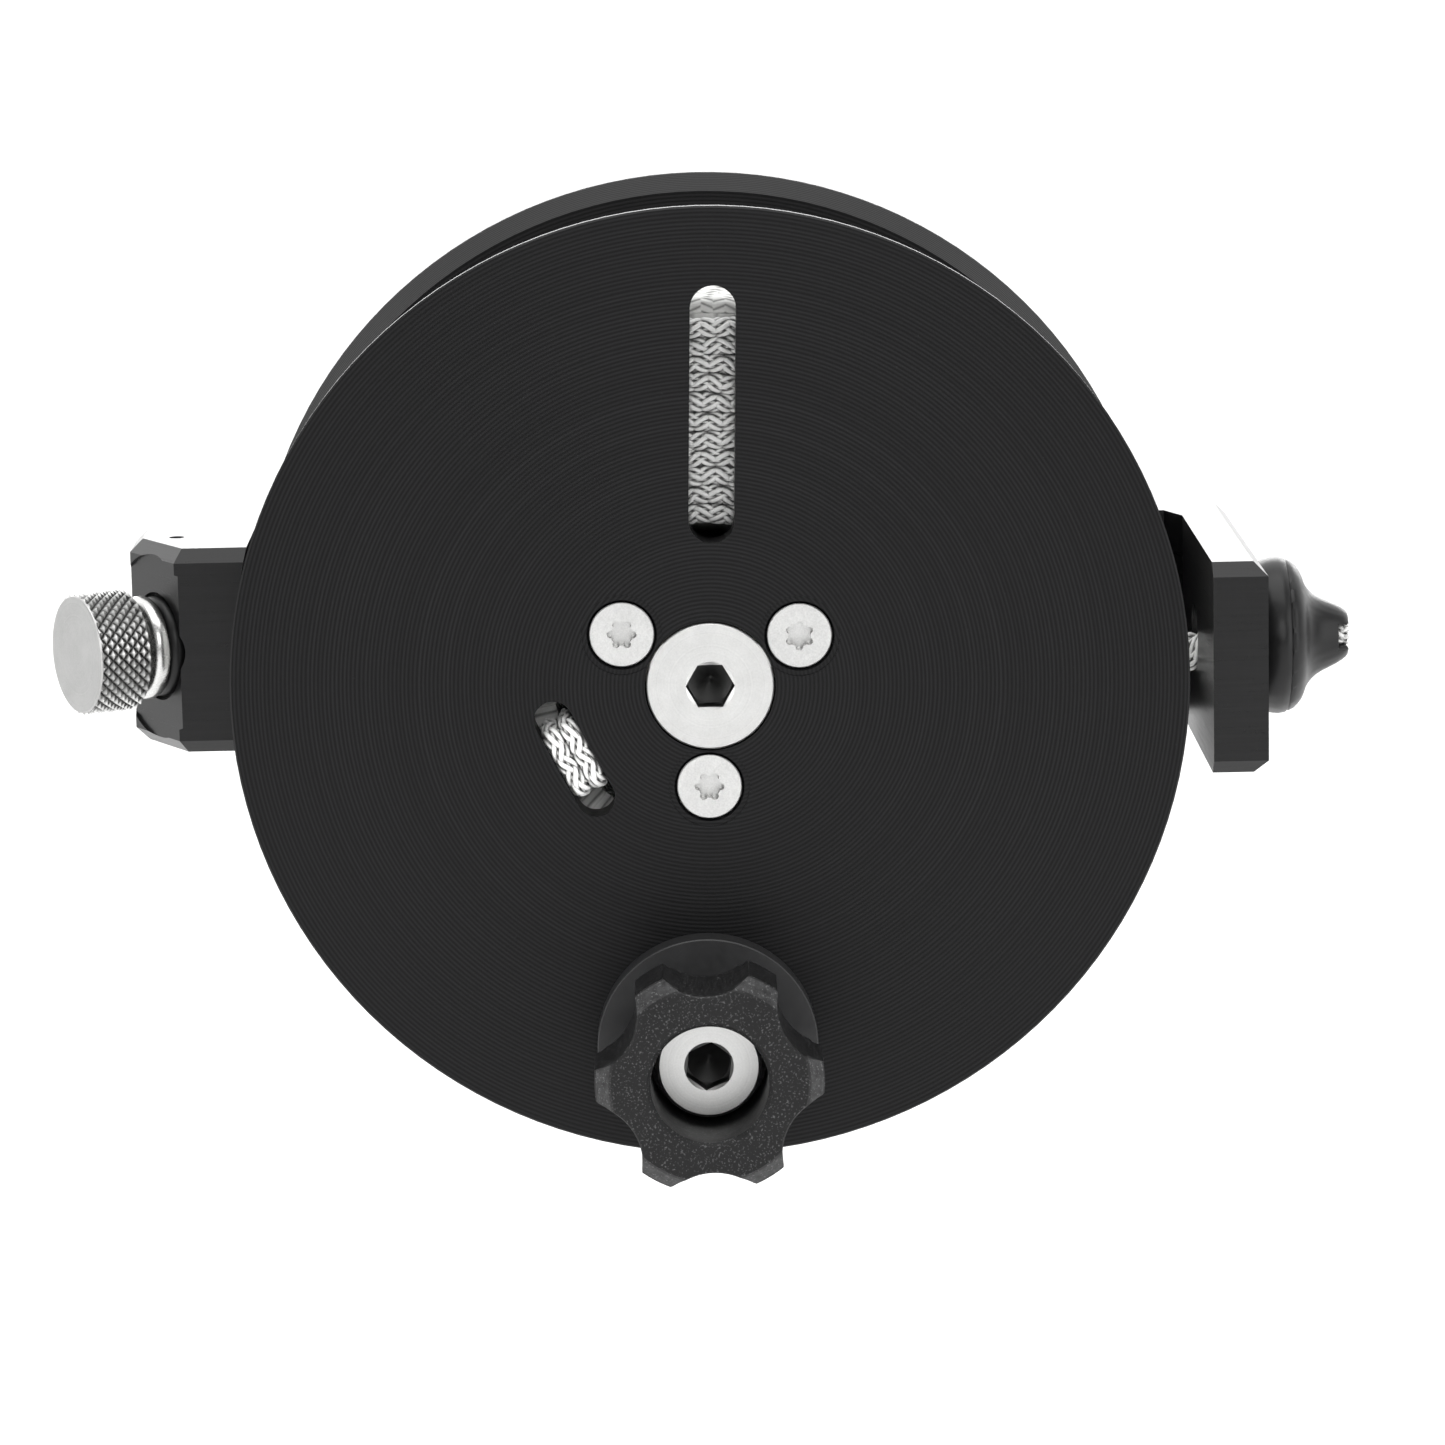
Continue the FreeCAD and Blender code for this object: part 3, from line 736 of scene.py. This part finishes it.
@dataclass(frozen=True)
class LinePack:
    """The line wound on the hub, its inner end and its run to the stopper."""

    braid: Braid = Braid()
    inner_r: float = 13.0
    outer_r: float = 36.0
    front: float = -52.1
    length: float = 30.8
    turns: int = 15
    steps: int = 120
    line_r: float = 1.03
    window_reach: float = 4.4
    window_r: tuple[float, float] = (14.8, 34.1)
    rows: int = 11
    row_depth: float = 1.0
    row_lean: float = 0.25
    bulge: float = 0.16
    stray: float = 0.22
    core_step: float = 1.4
    core_open: float = 8.0
    anchor_r: float = 14.5
    anchor_angle: float = 209.0
    strand_r: float = 0.9
    twist: float = 5.8

    def wound(self, material: bpy.types.Material) -> bpy.types.Object:
        """The outer layer's turns, as one helix that shows between the flanges."""
        middle = self.outer_r - self.line_r
        pitch = (self.length - 2 * self.line_r) / (self.turns - 1)
        bm = bmesh.new()
        start = Matrix.Translation((middle, self.front + self.line_r, 0))
        bmesh.ops.create_circle(bm, segments=10, radius=self.line_r, matrix=start)
        travel = (0, pitch / self.steps, 0)
        count = (self.turns - 1) * self.steps
        bmesh.ops.spin(
            bm,
            geom=bm.verts[:] + bm.edges[:],
            cent=(0, 0, 0),
            axis=(0, 1, 0),
            dvec=travel,
            angle=FULL_TURN * (self.turns - 1),
            steps=count,
            use_merge=False,
            use_duplicate=False,
        )
        self._map_plait(bm, middle, pitch)
        for vert in bm.verts:
            out = Vector((vert.co.x, 0, vert.co.z)).normalized()
            vert.co += out * self.bulge * (noise.noise(vert.co * 0.13) - 0.5)
            vert.co.y += self.stray * noise.noise(vert.co * 0.09 + Vector((9, 0, 0)))
        return add_piece("line_pack_outer_turns", bm, material, sharp=math.pi)

    def _map_plait(self, bm: bmesh.types.BMesh, middle: float, pitch: float) -> None:
        """Give each corner its distance along the line and its share of the way round it."""
        layer = bm.loops.layers.uv.new("UVMap")
        start = self.front + self.line_r
        for face in bm.faces:
            centre = face.calc_center_median()
            turned = -math.atan2(centre.z, centre.x) / FULL_TURN
            whole = round((centre.y - start) / pitch - turned)
            base = self._share(centre, turned + whole, middle, pitch, start)
            for loop in face.loops:
                co = loop.vert.co
                here = -math.atan2(co.z, co.x) / FULL_TURN
                here += round(turned - here)
                share = self._share(co, here + whole, middle, pitch, start)
                share += round(base - share)
                loop[layer].uv = ((here + whole) * FULL_TURN * middle, share)

    @staticmethod
    def _share(co: Vector, turns: float, middle: float, pitch: float, start: float) -> float:
        """How far round the line's own section a point lies, from -0.5 to 0.5."""
        out = math.hypot(co.x, co.z) - middle
        return math.atan2(co.y - start - turns * pitch, out) / FULL_TURN

    def core(self, material: bpy.types.Material) -> bpy.types.Object:
        """The layers under the outer one, as a solid that closes the gaps between turns."""
        back = self.front + self.length
        outer = self.outer_r - 1.5 * self.line_r
        step = self.front + self.core_step
        outline = [(self.inner_r, self.front + self.core_open), (self.window_r[0], step)]
        outline += [(outer, step), (outer, back - 0.1), (self.inner_r, back - 0.1)]
        bm = loft([circle(r, y) for r, y in outline], 160, closed=True)
        layer = bm.loops.layers.uv.new("UVMap")
        for face in bm.faces:
            for loop in face.loops:
                co = loop.vert.co
                loop[layer].uv = (math.atan2(co.z, co.x) * 30.0, co.y * 0.16)
        return add_piece("line_pack_inner_layers", bm, material)

    def behind_window(self, material: bpy.types.Material) -> bpy.types.Object:
        """The front turn of each layer, braided yarn by yarn where the window shows it."""
        foot, head = self.window_r
        pitch = (head - foot) / self.rows
        draw = random.Random(4)
        lines = []
        for row in range(self.rows):
            radius = foot + (row + 0.5) * pitch
            sweep = self.window_reach / radius
            count = int(2 * self.window_reach / self.braid.spacing)
            depth = self.front + self.row_depth + draw.uniform(0.0, 0.22)
            lean = draw.uniform(-self.row_lean, self.row_lean)
            line = []
            for k in range(count + 1):
                share = 2 * k / count - 1
                angle = math.pi / 2 - SPOOL_TURN + sweep * share
                reach = radius + lean * share + 0.12 * math.sin(3.1 * share + row)
                line.append(Vector((reach * math.cos(angle), depth, reach * math.sin(angle))))
            lines.append(line)
        return self.braid.piece("line_pack_window_turns", lines, material)

    def inner_end(self, material: bpy.types.Material) -> bpy.types.Object:
        """The line's inner end, doubled over the bridge of the anchor slot."""
        deep = self.front + 0.8
        top = FLANGE_FACE + 0.92
        lines = []
        for side in (-0.91, 0.91):
            route = [(-3.1, deep, side), (-3.0, top + 1.6, side), (-2.6, top, side)]
            route += [(-1.0, top - 0.05, side * 1.04), (1.0, top - 0.05, side * 0.96)]
            route += [(2.6, top, side), (3.0, top + 1.6, side), (3.1, deep, side)]
            line = smooth_route(route, self.braid.spacing)
            lines.append([self.on_anchor(point) for point in line])
        return self.braid.piece("line_inner_end", lines, material)

    def on_anchor(self, point: Vector) -> Vector:
        """A point across the anchor's radius, moved to the anchor's place on the flange."""
        turned = Vector((point.z + self.anchor_r, point.y, point.x))
        return about_spool(turned, math.radians(self.anchor_angle) - SPOOL_TURN)

    def run_out(self, material: bpy.types.Material) -> bpy.types.Object:
        """The doubled line, twisted, from the pack through the arm into the stopper."""
        corners = [(34.8, -15.5), (38.8, -8.8), (42.4, -3.8), (45.4, -2.0), (48.4, -0.8)]
        corners += [(51.5, 0.0), (56.0, 0.0), (60.1, 0.0)]
        route = [(x, LINE_LEVEL, z) for x, z in corners]
        middle = smooth_route(route, self.braid.spacing)
        frames = carried_frames(middle)
        lines = []
        for half in (0.0, math.pi):
            line = []
            for k, (point, (across, aside)) in enumerate(zip(middle, frames)):
                angle = half + 0.6 - FULL_TURN * k * self.braid.spacing / self.twist
                side = across * math.cos(angle) + aside * math.sin(angle)
                line.append(point + side * self.strand_r)
            lines.append(line)
        return self.braid.piece("line_run_and_tail", lines, material)

    def tail_tip(self, material: bpy.types.Material) -> bpy.types.Object:
        """The single line's end that shows in the stopper's slit."""
        route = [(x, LINE_LEVEL, 0.0) for x in (59.4, 60.4, 61.5, 62.55)]
        line = smooth_route(route, self.braid.spacing)
        return self.braid.piece("line_tail_tip", [line], material)

    def build(self, yarn: bpy.types.Material, plait: bpy.types.Material) -> None:
        """Make every piece of the line and put each on its body."""
        pack = [self.wound(plait), self.core(plait), self.behind_window(yarn)]
        for item in pack:
            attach(item, "spool")
        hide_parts("line_pack")
        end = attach(self.inner_end(yarn), "spool")
        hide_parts("line_anchor_loop")
        run = self.run_out(yarn)
        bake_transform(run)
        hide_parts("line_run", "line_tail")
        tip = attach(self.tail_tip(yarn), "stopper")


# The crank knob --------------------------------------------------------------------------


@dataclass(frozen=True)
class CrankKnob:
    """Six-lobed knob that turns on a shoulder screw."""

    pitch_r: float = 34.0
    top: float = -74.3
    head_t: float = 8.8
    outer_r: float = 10.6
    neck_r: float = 6.6
    bottom: float = -59.3
    edge: float = 1.4
    under: float = 0.8
    scallop_r: float = 5.65
    scallop_at: float = 13.95
    recess_r: float = 5.45
    seat: float = -63.4
    screw_top: float = -66.7
    bore_r: float = 5.0
    lobes: int = 6
    turn: float = 2.5
    crease: float = 0.16
    soft: float = 0.14

    def wall(self, angle: float, limit: float) -> float:
        """The radius of the lobed outline at an angle, held to a limit."""
        step = FULL_TURN / self.lobes
        off = (angle % step) - step / 2
        side = self.scallop_at * math.sin(off)
        if abs(side) >= self.scallop_r:
            return limit
        hollow = self.scallop_at * math.cos(off) - math.sqrt(self.scallop_r**2 - side**2)
        near = max(0.0, self.crease - abs(limit - hollow))
        return min(limit, hollow) - near**2 / (4 * self.crease)

    def lobed(self, limit: float, along: float, shrink: float = 0.0) -> Ring:
        """A ring that follows the lobes, on the flat or on the turned chamfer."""

        def ring(angle: float) -> tuple[float, float]:
            """Radius and place at an angle."""
            radius = self.wall(angle, limit) - shrink
            slope = max(0.0, radius + shrink - (self.outer_r - self.edge))
            return radius, along + (slope if along < self.top + self.edge else 0.0)

        return ring

    def place(self) -> Matrix:
        """The knob's place on the spool."""
        x = -self.pitch_r * math.sin(SPOOL_TURN)
        z = -self.pitch_r * math.cos(SPOOL_TURN)
        return Matrix.Translation((x, 0, z)) @ Matrix.Rotation(
            SPOOL_TURN - math.radians(self.turn), 4, "Y"
        )

    def mesh(self) -> bmesh.types.BMesh:
        """Head, neck and recess, as one closed skin."""
        head = self.top + self.head_t
        face = self.outer_r - self.edge
        soft = self.soft
        rings = [circle(self.neck_r, self.bottom), circle(self.neck_r, head - 0.3)]
        rings += [circle(self.neck_r + 0.3, head)]
        rings += [self.lobed(self.outer_r - self.under, head)]
        rings += [self.lobed(self.outer_r, head - self.under)]
        rings += [self.lobed(self.outer_r, self.top + self.edge + 0.25)]
        rings += [self.lobed(self.outer_r, self.top + soft)]
        rings += [self.lobed(self.outer_r, self.top, soft), self.lobed(face, self.top, soft)]
        rings += [circle(self.recess_r + 0.75, self.top), circle(self.recess_r + 0.35, self.top)]
        rings += [circle(self.recess_r + 0.3, self.top + 0.05)]
        rings += [circle(self.recess_r, self.top + 0.35)]
        rings += [circle(self.recess_r, self.seat), circle(self.bore_r, self.seat)]
        rings += [circle(self.bore_r, self.bottom)]
        return loft(rings, 360, closed=True)

    def build(self, material: bpy.types.Material) -> None:
        """Make the knob and put it on its body."""
        knob = add_piece("crank_knob_lobed", self.mesh(), material, self.place())
        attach(knob, "knob")
        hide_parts("crank_knob")


# The lock screw --------------------------------------------------------------------------


@dataclass(frozen=True)
class LockScrew:
    """Thumb screw with a diamond-knurled head."""

    tip: tuple[float, float, float] = (-44.2, -19.85, 0.0)
    angle: float = 30.0
    thread: tuple[float, float] = (8.5, 12.4)
    thread_r: float = 2.95
    root_r: float = 2.42
    pitch: float = 1.0
    thread_step: float = 0.1
    thread_fade: float = 0.5
    groove: tuple[float, float] = (4.1, 8.5)
    groove_r: float = 2.2
    nose: float = 2.2
    collar: tuple[float, float] = (12.4, 14.1)
    collar_r: float = 5.1
    neck_r: float = 4.3
    head: tuple[float, float] = (14.7, 20.2)
    head_r: float = 6.0
    teeth: int = 32
    knurl_rows: int = 9
    knurl_depth: float = 0.42

    def place(self) -> Matrix:
        """From +Y at the origin to the screw's axis."""
        turn = Matrix.Rotation(math.radians(90 + self.angle), 4, "Z")
        return Matrix.Translation(self.tip) @ turn

    def threaded(self, along: float) -> Ring:
        """A ring across the thread, whose ridge climbs round the screw."""

        def ring(angle: float) -> tuple[float, float]:
            """Radius and place at an angle."""
            phase = (along / self.pitch - angle / FULL_TURN) % 1.0
            ridge = 1.0 - abs(2 * phase - 1.0)
            inside = min(along - self.thread[0], self.thread[1] - along)
            fade = min(1.0, inside / self.thread_fade)
            depth = (self.thread_r - self.root_r) * (1.0 - min(1.0, ridge * 1.25)) * fade
            return self.thread_r - max(0.0, depth), along

        return ring

    def shank(self) -> bmesh.types.BMesh:
        """Nose, groove, thread, collar and neck."""
        rings = [circle(self.thread_r - 0.35, self.nose), circle(self.thread_r, self.nose + 0.35)]
        rings += [circle(self.thread_r, self.groove[0]), circle(self.groove_r, self.groove[0])]
        rings += [circle(self.groove_r, self.groove[1]), circle(self.thread_r, self.groove[1])]
        count = int((self.thread[1] - self.thread[0]) / self.thread_step)
        rings += [self.threaded(self.thread[0] + self.thread_step * k) for k in range(1, count)]
        low, high = self.collar
        outer = self.collar_r
        rings += [circle(self.thread_r, low), circle(outer - 0.45, low)]
        rings += [circle(outer - 0.12, low + 0.1), circle(outer, low + 0.35)]
        rings += [circle(outer, high - 0.9), circle(outer - 0.1, high - 0.5)]
        rings += [circle(outer - 0.35, high - 0.15)]
        rings += [circle(self.neck_r + 0.15, high), circle(self.neck_r, high + 0.15)]
        rings += [circle(self.neck_r, self.head[0] - 0.2), circle(self.neck_r + 0.2, self.head[0])]
        rings += [circle(self.head_r - 0.6, self.head[0])]
        return loft(rings, 96)

    def knurled(self) -> bmesh.types.BMesh:
        """The head's wall: rows of pyramids between two sets of crossing grooves."""
        low, high = self.head[0] + 0.35, self.head[1] - 0.25
        step = (high - low) / self.knurl_rows
        crest, bottom = self.head_r, self.head_r - self.knurl_depth
        edge = crest - 0.2
        rings = [circle(crest - 0.6, self.head[0]), circle(crest - 0.38, self.head[0] + 0.08)]
        rings += [circle(edge - 0.08, low - 0.14)]
        rings += [circle(edge, low + step * k) for k in range(self.knurl_rows + 1)]
        rings += [circle(edge - 0.02, high + 0.1), circle(crest - 0.26, self.head[1] - 0.05)]
        rings += [circle(crest - 0.34, self.head[1])]
        bm = loft(rings, 2 * self.teeth)
        sector = math.pi / self.teeth
        for vert in bm.verts:
            row = (vert.co.y - low) / step
            if -0.01 <= row <= self.knurl_rows + 0.01:
                angle = math.atan2(vert.co.z, vert.co.x)
                tooth = round(angle / sector)
                peak = (tooth + round(row)) % 2 == 0
                radius = crest if peak else bottom
                vert.co.x = radius * math.cos(angle)
                vert.co.z = radius * math.sin(angle)
        self._crease(bm, low, high, bottom)
        return bm

    @staticmethod
    def _crease(bm: bmesh.types.BMesh, low: float, high: float, bottom: float) -> None:
        """Split each face of the knurl along its groove, between its two low corners."""
        for face in [f for f in bm.faces if len(f.verts) == 4]:
            corners = list(face.verts)
            inside = all(low - 0.01 <= v.co.y <= high + 0.01 for v in corners)
            deep = [v for v in corners if math.hypot(v.co.x, v.co.z) < bottom + 0.05]
            if inside and len(deep) == 2:
                bmesh.utils.face_split(face, deep[0], deep[1])

    def build(self, steel: bpy.types.Material, knurl: bpy.types.Material) -> None:
        """Make the screw's pieces and put them on its body."""
        shank = add_piece("lock_screw_shank", self.shank(), steel, self.place())
        head = add_piece("lock_screw_knurled_head", self.knurled(), knurl, self.place(), 0.3)
        for item in (shank, head):
            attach(item, "lock_screw")
        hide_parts("lock_screw")


# The stopper -----------------------------------------------------------------------------


@dataclass(frozen=True)
class Stopper:
    """Moulded rubber stopper that keeps the line's end outside the arm."""

    face: float = 53.0
    seam_at: float = 56.3
    seam: float = 0.12
    tip: float = 62.35
    neck: float = 59.8
    slit_depth: float = 1.0
    slit_half: float = 1.15
    bore_r: float = 1.86
    tip_bore_r: float = 1.17
    uneven: float = 0.16
    wrinkle: float = 0.035
    outline: tuple[tuple[float, float], ...] = (
        *((53.0, 6.3), (53.15, 6.75), (53.6, 7.15), (54.2, 7.45), (54.9, 7.6), (55.5, 7.62)),
        *((56.15, 7.48), (56.3, 7.42), (56.45, 7.36), (56.9, 7.12), (57.3, 6.78), (57.65, 6.3)),
        *((57.9, 5.75), (58.1, 5.2), (58.35, 4.75), (58.7, 4.32), (59.2, 3.9), (59.8, 3.55)),
        *((60.5, 3.22), (61.2, 2.9), (61.75, 2.6), (62.15, 2.3), (62.33, 2.05), (62.35, 1.7)),
    )

    def skin(self, radius: float, along: float) -> Ring:
        """A ring of the outside, with the moulding's slight unevenness and the slit."""

        def ring(angle: float) -> tuple[float, float]:
            """Radius and place at an angle."""
            probe = Vector((math.cos(angle) * 1.3, along * 0.35, math.sin(angle) * 1.3))
            uneven = self.uneven * noise.noise(probe) * min(1.0, radius / 6.0)
            fine = Vector((math.cos(angle) * 7, along * 2.6, math.sin(angle) * 7))
            uneven += self.wrinkle * noise.noise(fine) * min(1.0, radius / 4.0)
            ridge = self.seam * math.exp(-(((along - self.seam_at) / 0.07) ** 2))
            return radius + uneven - ridge, along - self.cut(angle, radius, along)

        return ring

    def cut(self, angle: float, radius: float, along: float) -> float:
        """How far the slit sets the tip back at an angle, on the side that faces -Y."""
        height = radius * math.sin(angle)
        front = math.cos(angle) > 0
        if not front or abs(height) > self.slit_half:
            return 0.0
        return self.slit_depth * max(0.0, min(1.0, (along - self.tip + 1.1) / 0.9))

    def place(self) -> Matrix:
        """From +Y to the line's way out, the ring angle 0 turned to face -Y."""
        return Matrix.Translation((0, LINE_LEVEL, 0)) @ Matrix.Rotation(math.radians(-90), 4, "Z")

    def mesh(self) -> bmesh.types.BMesh:
        """Outside, tip and bore, as one closed skin."""
        rings = [self.skin(r, x) for x, r in self.outline]
        rings += [self.skin(self.tip_bore_r + 0.1, self.tip)]
        rings += [circle(self.tip_bore_r, self.tip - 1.3), circle(self.tip_bore_r, self.neck + 0.2)]
        rings += [circle(self.bore_r, self.neck), circle(self.bore_r, self.face)]
        return loft(rings, 192, closed=True)

    def build(self, material: bpy.types.Material) -> None:
        """Make the stopper and put it on its body."""
        made = add_piece("stopper_moulded", self.mesh(), material, self.place(), 0.9)
        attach(made, "stopper")
        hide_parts("stopper")


# Pieces kept from the CAD model ----------------------------------------------------------


class Kept(Enum):
    """Finishes of the CAD nodes that stay as they are."""

    FLANGE = ("front_flange", "rear_flange", "spool_hub")
    YOKE = ("frame_yoke",)
    BOLT = ("axle_bolt", "axle_sleeve")
    KNOB_SCREW = ("knob_screw",)
    SMALL_SCREWS = ("front_flange_screws", "rear_flange_screws", "screw_stop_pin")
    BOSS = ("knob_boss",)
    RUBBER = ("lock_o_ring",)
    ACETAL = ("front_bush", "rear_bush", "thrust_washer", "lock_pad", "knob_bush")

    def dress(self, material: bpy.types.Material) -> None:
        """Give each node of this group its finish."""
        for name in self.value:
            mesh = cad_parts[name].data
            mesh.materials.clear()
            mesh.materials.append(material)
            LOG.info("%s: kept, %s", name, material.name)


# The studio ------------------------------------------------------------------------------


@dataclass(frozen=True)
class Studio:
    """White table, soft lights and the camera."""

    distance: float = 560.0
    down: float = 10.0
    yaw: float = 0.56
    roll: float = -1.1
    offset: tuple[float, float] = (-1.08, 3.42)
    target: tuple[float, float, float] = (0.0, -56.0, 0.0)
    lens: float = 149.0
    sensor: float = 36.0
    floor_drop: float = 60.0
    front_glow: float = 0.35
    back_glow: float = 1.7

    def camera(self) -> None:
        """Camera a little above the spool's axis, turned very slightly."""
        turn, tilt = math.radians(self.yaw), math.radians(self.down)
        cos, sin = math.cos(turn), math.sin(turn)
        right = Vector((cos, -sin, 0.0))
        up = Vector((sin * math.sin(tilt), cos * math.sin(tilt), math.cos(tilt)))
        ahead = Vector((sin * math.cos(tilt), cos * math.cos(tilt), -math.sin(tilt)))
        at = -(right * self.offset[0] + up * self.offset[1] + ahead * self.distance)
        at += Vector(self.target)
        roll = math.radians(self.roll)
        level = right * math.cos(roll) + up * math.sin(roll)
        upright = up * math.cos(roll) - right * math.sin(roll)
        data = bpy.data.cameras.new("camera")
        data.lens = self.lens
        data.sensor_width = self.sensor
        data.clip_start, data.clip_end = 0.01, 20.0
        holder = bpy.data.objects.new("camera", data)
        rows = [(*level, at.x * MM), (*upright, at.y * MM), (*(-ahead), at.z * MM)]
        turned = Matrix([[rows[c][r] for c in range(3)] for r in range(3)]).to_4x4()
        holder.matrix_world = Matrix.Translation(at * MM) @ turned
        bpy.context.scene.collection.objects.link(holder)
        bpy.context.scene.camera = holder

    def softbox(self, name: str, at: Vector, size: tuple[float, float], power: float) -> None:
        """A rectangular soft light that points at the reel."""
        data = bpy.data.lights.new(name, "AREA")
        data.shape = "RECTANGLE"
        data.size, data.size_y = size
        data.energy = power
        holder = bpy.data.objects.new(name, data)
        aim = (Vector((0, -0.035, 0)) - at).to_track_quat("-Z", "Y")
        holder.matrix_world = Matrix.Translation(at) @ aim.to_matrix().to_4x4()
        holder.visible_camera = False
        bpy.context.scene.collection.objects.link(holder)

    def floor(self) -> None:
        """A pale plain floor below the reel."""
        bm = bmesh.new()
        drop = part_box("front_flange")[0].z - self.floor_drop * MM
        flat = Matrix.Translation((0, 0, drop))
        bmesh.ops.create_grid(bm, x_segments=1, y_segments=1, size=4.0, matrix=flat)
        mesh = bpy.data.meshes.new("floor")
        bm.to_mesh(mesh)
        bm.free()
        s = Shader.of("pale_floor")
        tone = s.noise(s.place(), 3.0, 1.0)
        s.fixed(Specular_IOR_Level=0.2)
        colour = s.blend(tone, (0.92, 0.92, 0.92), (0.94, 0.94, 0.94))
        holder = stand("floor", mesh, s.finish(colour, tone * 0.1 + 0.7, tone * 0.0))

    def sky(self) -> None:
        """Bright behind and above, dim on the camera's side, plain white as a background."""
        world = bpy.data.worlds.new("studio")
        bpy.context.scene.world = world
        s = Shader(world)
        ground = s.tree.nodes["Background"]
        towards = s.node("ShaderNodeTexCoord", {}, {}, "Generated")
        back = s.node("ShaderNodeSeparateXYZ", {}, {0: towards}, 1)
        glow = back.within(-0.1, 0.45) * (self.back_glow - self.front_glow) + self.front_glow
        seen = s.node("ShaderNodeLightPath", {}, {}, "Is Camera Ray")
        ground.inputs["Color"].default_value = (1.0, 1.0, 1.0, 1.0)
        s.feed(ground.inputs["Strength"], glow * (1 - seen) + seen)

    def build(self) -> None:
        """Camera, floor, sky and soft lights."""
        bpy.context.scene.view_settings.view_transform = "Standard"
        self.camera()
        self.floor()
        self.sky()
        self.softbox("left_box", Vector((-0.75, -0.45, 0.25)), (0.5, 0.7), 2.6)
        self.softbox("right_box", Vector((0.75, -0.45, 0.25)), (0.5, 0.7), 2.6)
        self.softbox("top_box", Vector((0.0, -0.15, 0.8)), (0.9, 0.7), 5.5)
        self.softbox("front_box", Vector((0.1, -0.9, 0.4)), (0.4, 0.4), 2.0)
        self.softbox("back_box", Vector((0.0, 4.2, 1.0)), (5.0, 1.6), 75.0)


def main() -> None:
    """Build the studio, then every sub-assembly in order."""
    logging.basicConfig(level=logging.INFO, format="%(message)s")
    Studio().build()
    knob, lock = CrankKnob(), LockScrew()
    knob_middle = knob.place().translation
    knob_centre = tuple(v * MM for v in knob_middle)
    lock_axis = tuple((lock.place().to_3x3() @ Vector((0, 1, 0))).normalized())
    lock_tip = tuple(v * MM for v in lock.tip)
    rubber = Moulded(
        "rubber_skin",
        dark=(0.003, 0.003, 0.0032),
        light=(0.012, 0.012, 0.0125),
        rough=0.36,
        shine=0.28,
    ).material()
    speckled = Moulded(
        "glass_filled_nylon",
        dark=(0.002, 0.002, 0.0022),
        light=(0.13, 0.13, 0.132),
        specks=0.6,
        mottle=0.03,
        rough=0.45,
        shine=0.25,
        # painted highlight on the knob's turned chamfer, outside radius 9.25
        painted_rim_highlight=(knob_middle.x, knob_middle.z, 9.25, knob.top + knob.edge),
    )
    smooth = Moulded(
        "smooth_black_acetal",
        dark=(0.01, 0.01, 0.0105),
        light=(0.045, 0.045, 0.046),
        orange_peel_m=1.5e-6,
        scuff=0.6,
    )
    turned = Stainless("lock_screw_turned", lock_tip, lock_axis, rough=0.26, grain_m=6e-7)
    knurl = Stainless(
        "lock_screw_knurl",
        lock_tip,
        lock_axis,
        bright=(0.78, 0.78, 0.77),
        mottle=0.5,
        rough=0.36,
        # painted shade in the knurl's grooves, below radius 5.6, and on the end face
        groove=(5.6, 5.84, lock.head[1]),
    )
    # painted shade inside the bolt's socket and inside the knob screw's socket and recess
    bolt = Stainless("bolt_steel", (0.0, FLANGE_FACE * MM, 0.0), face=0.0)
    knob_screw = Stainless("knob_screw_steel", knob_centre, face=knob.screw_top)
    Kept.FLANGE.dress(TurnedAnodising().material())
    Kept.YOKE.dress(MilledAnodising().material())
    Kept.BOLT.dress(bolt.material())
    Kept.KNOB_SCREW.dress(knob_screw.material())
    Kept.SMALL_SCREWS.dress(Stainless("small_screw_steel", rings=0.0).material())
    Kept.BOSS.dress(smooth.material())
    Kept.RUBBER.dress(rubber)
    Kept.ACETAL.dress(Acetal().material())
    LinePack().build(YarnFinish().material(), WoundLine().material())
    knob.build(speckled.material())
    lock.build(turned.material(), knurl.material())
    Stopper().build(rubber)


if __name__ == "__main__":
    main()
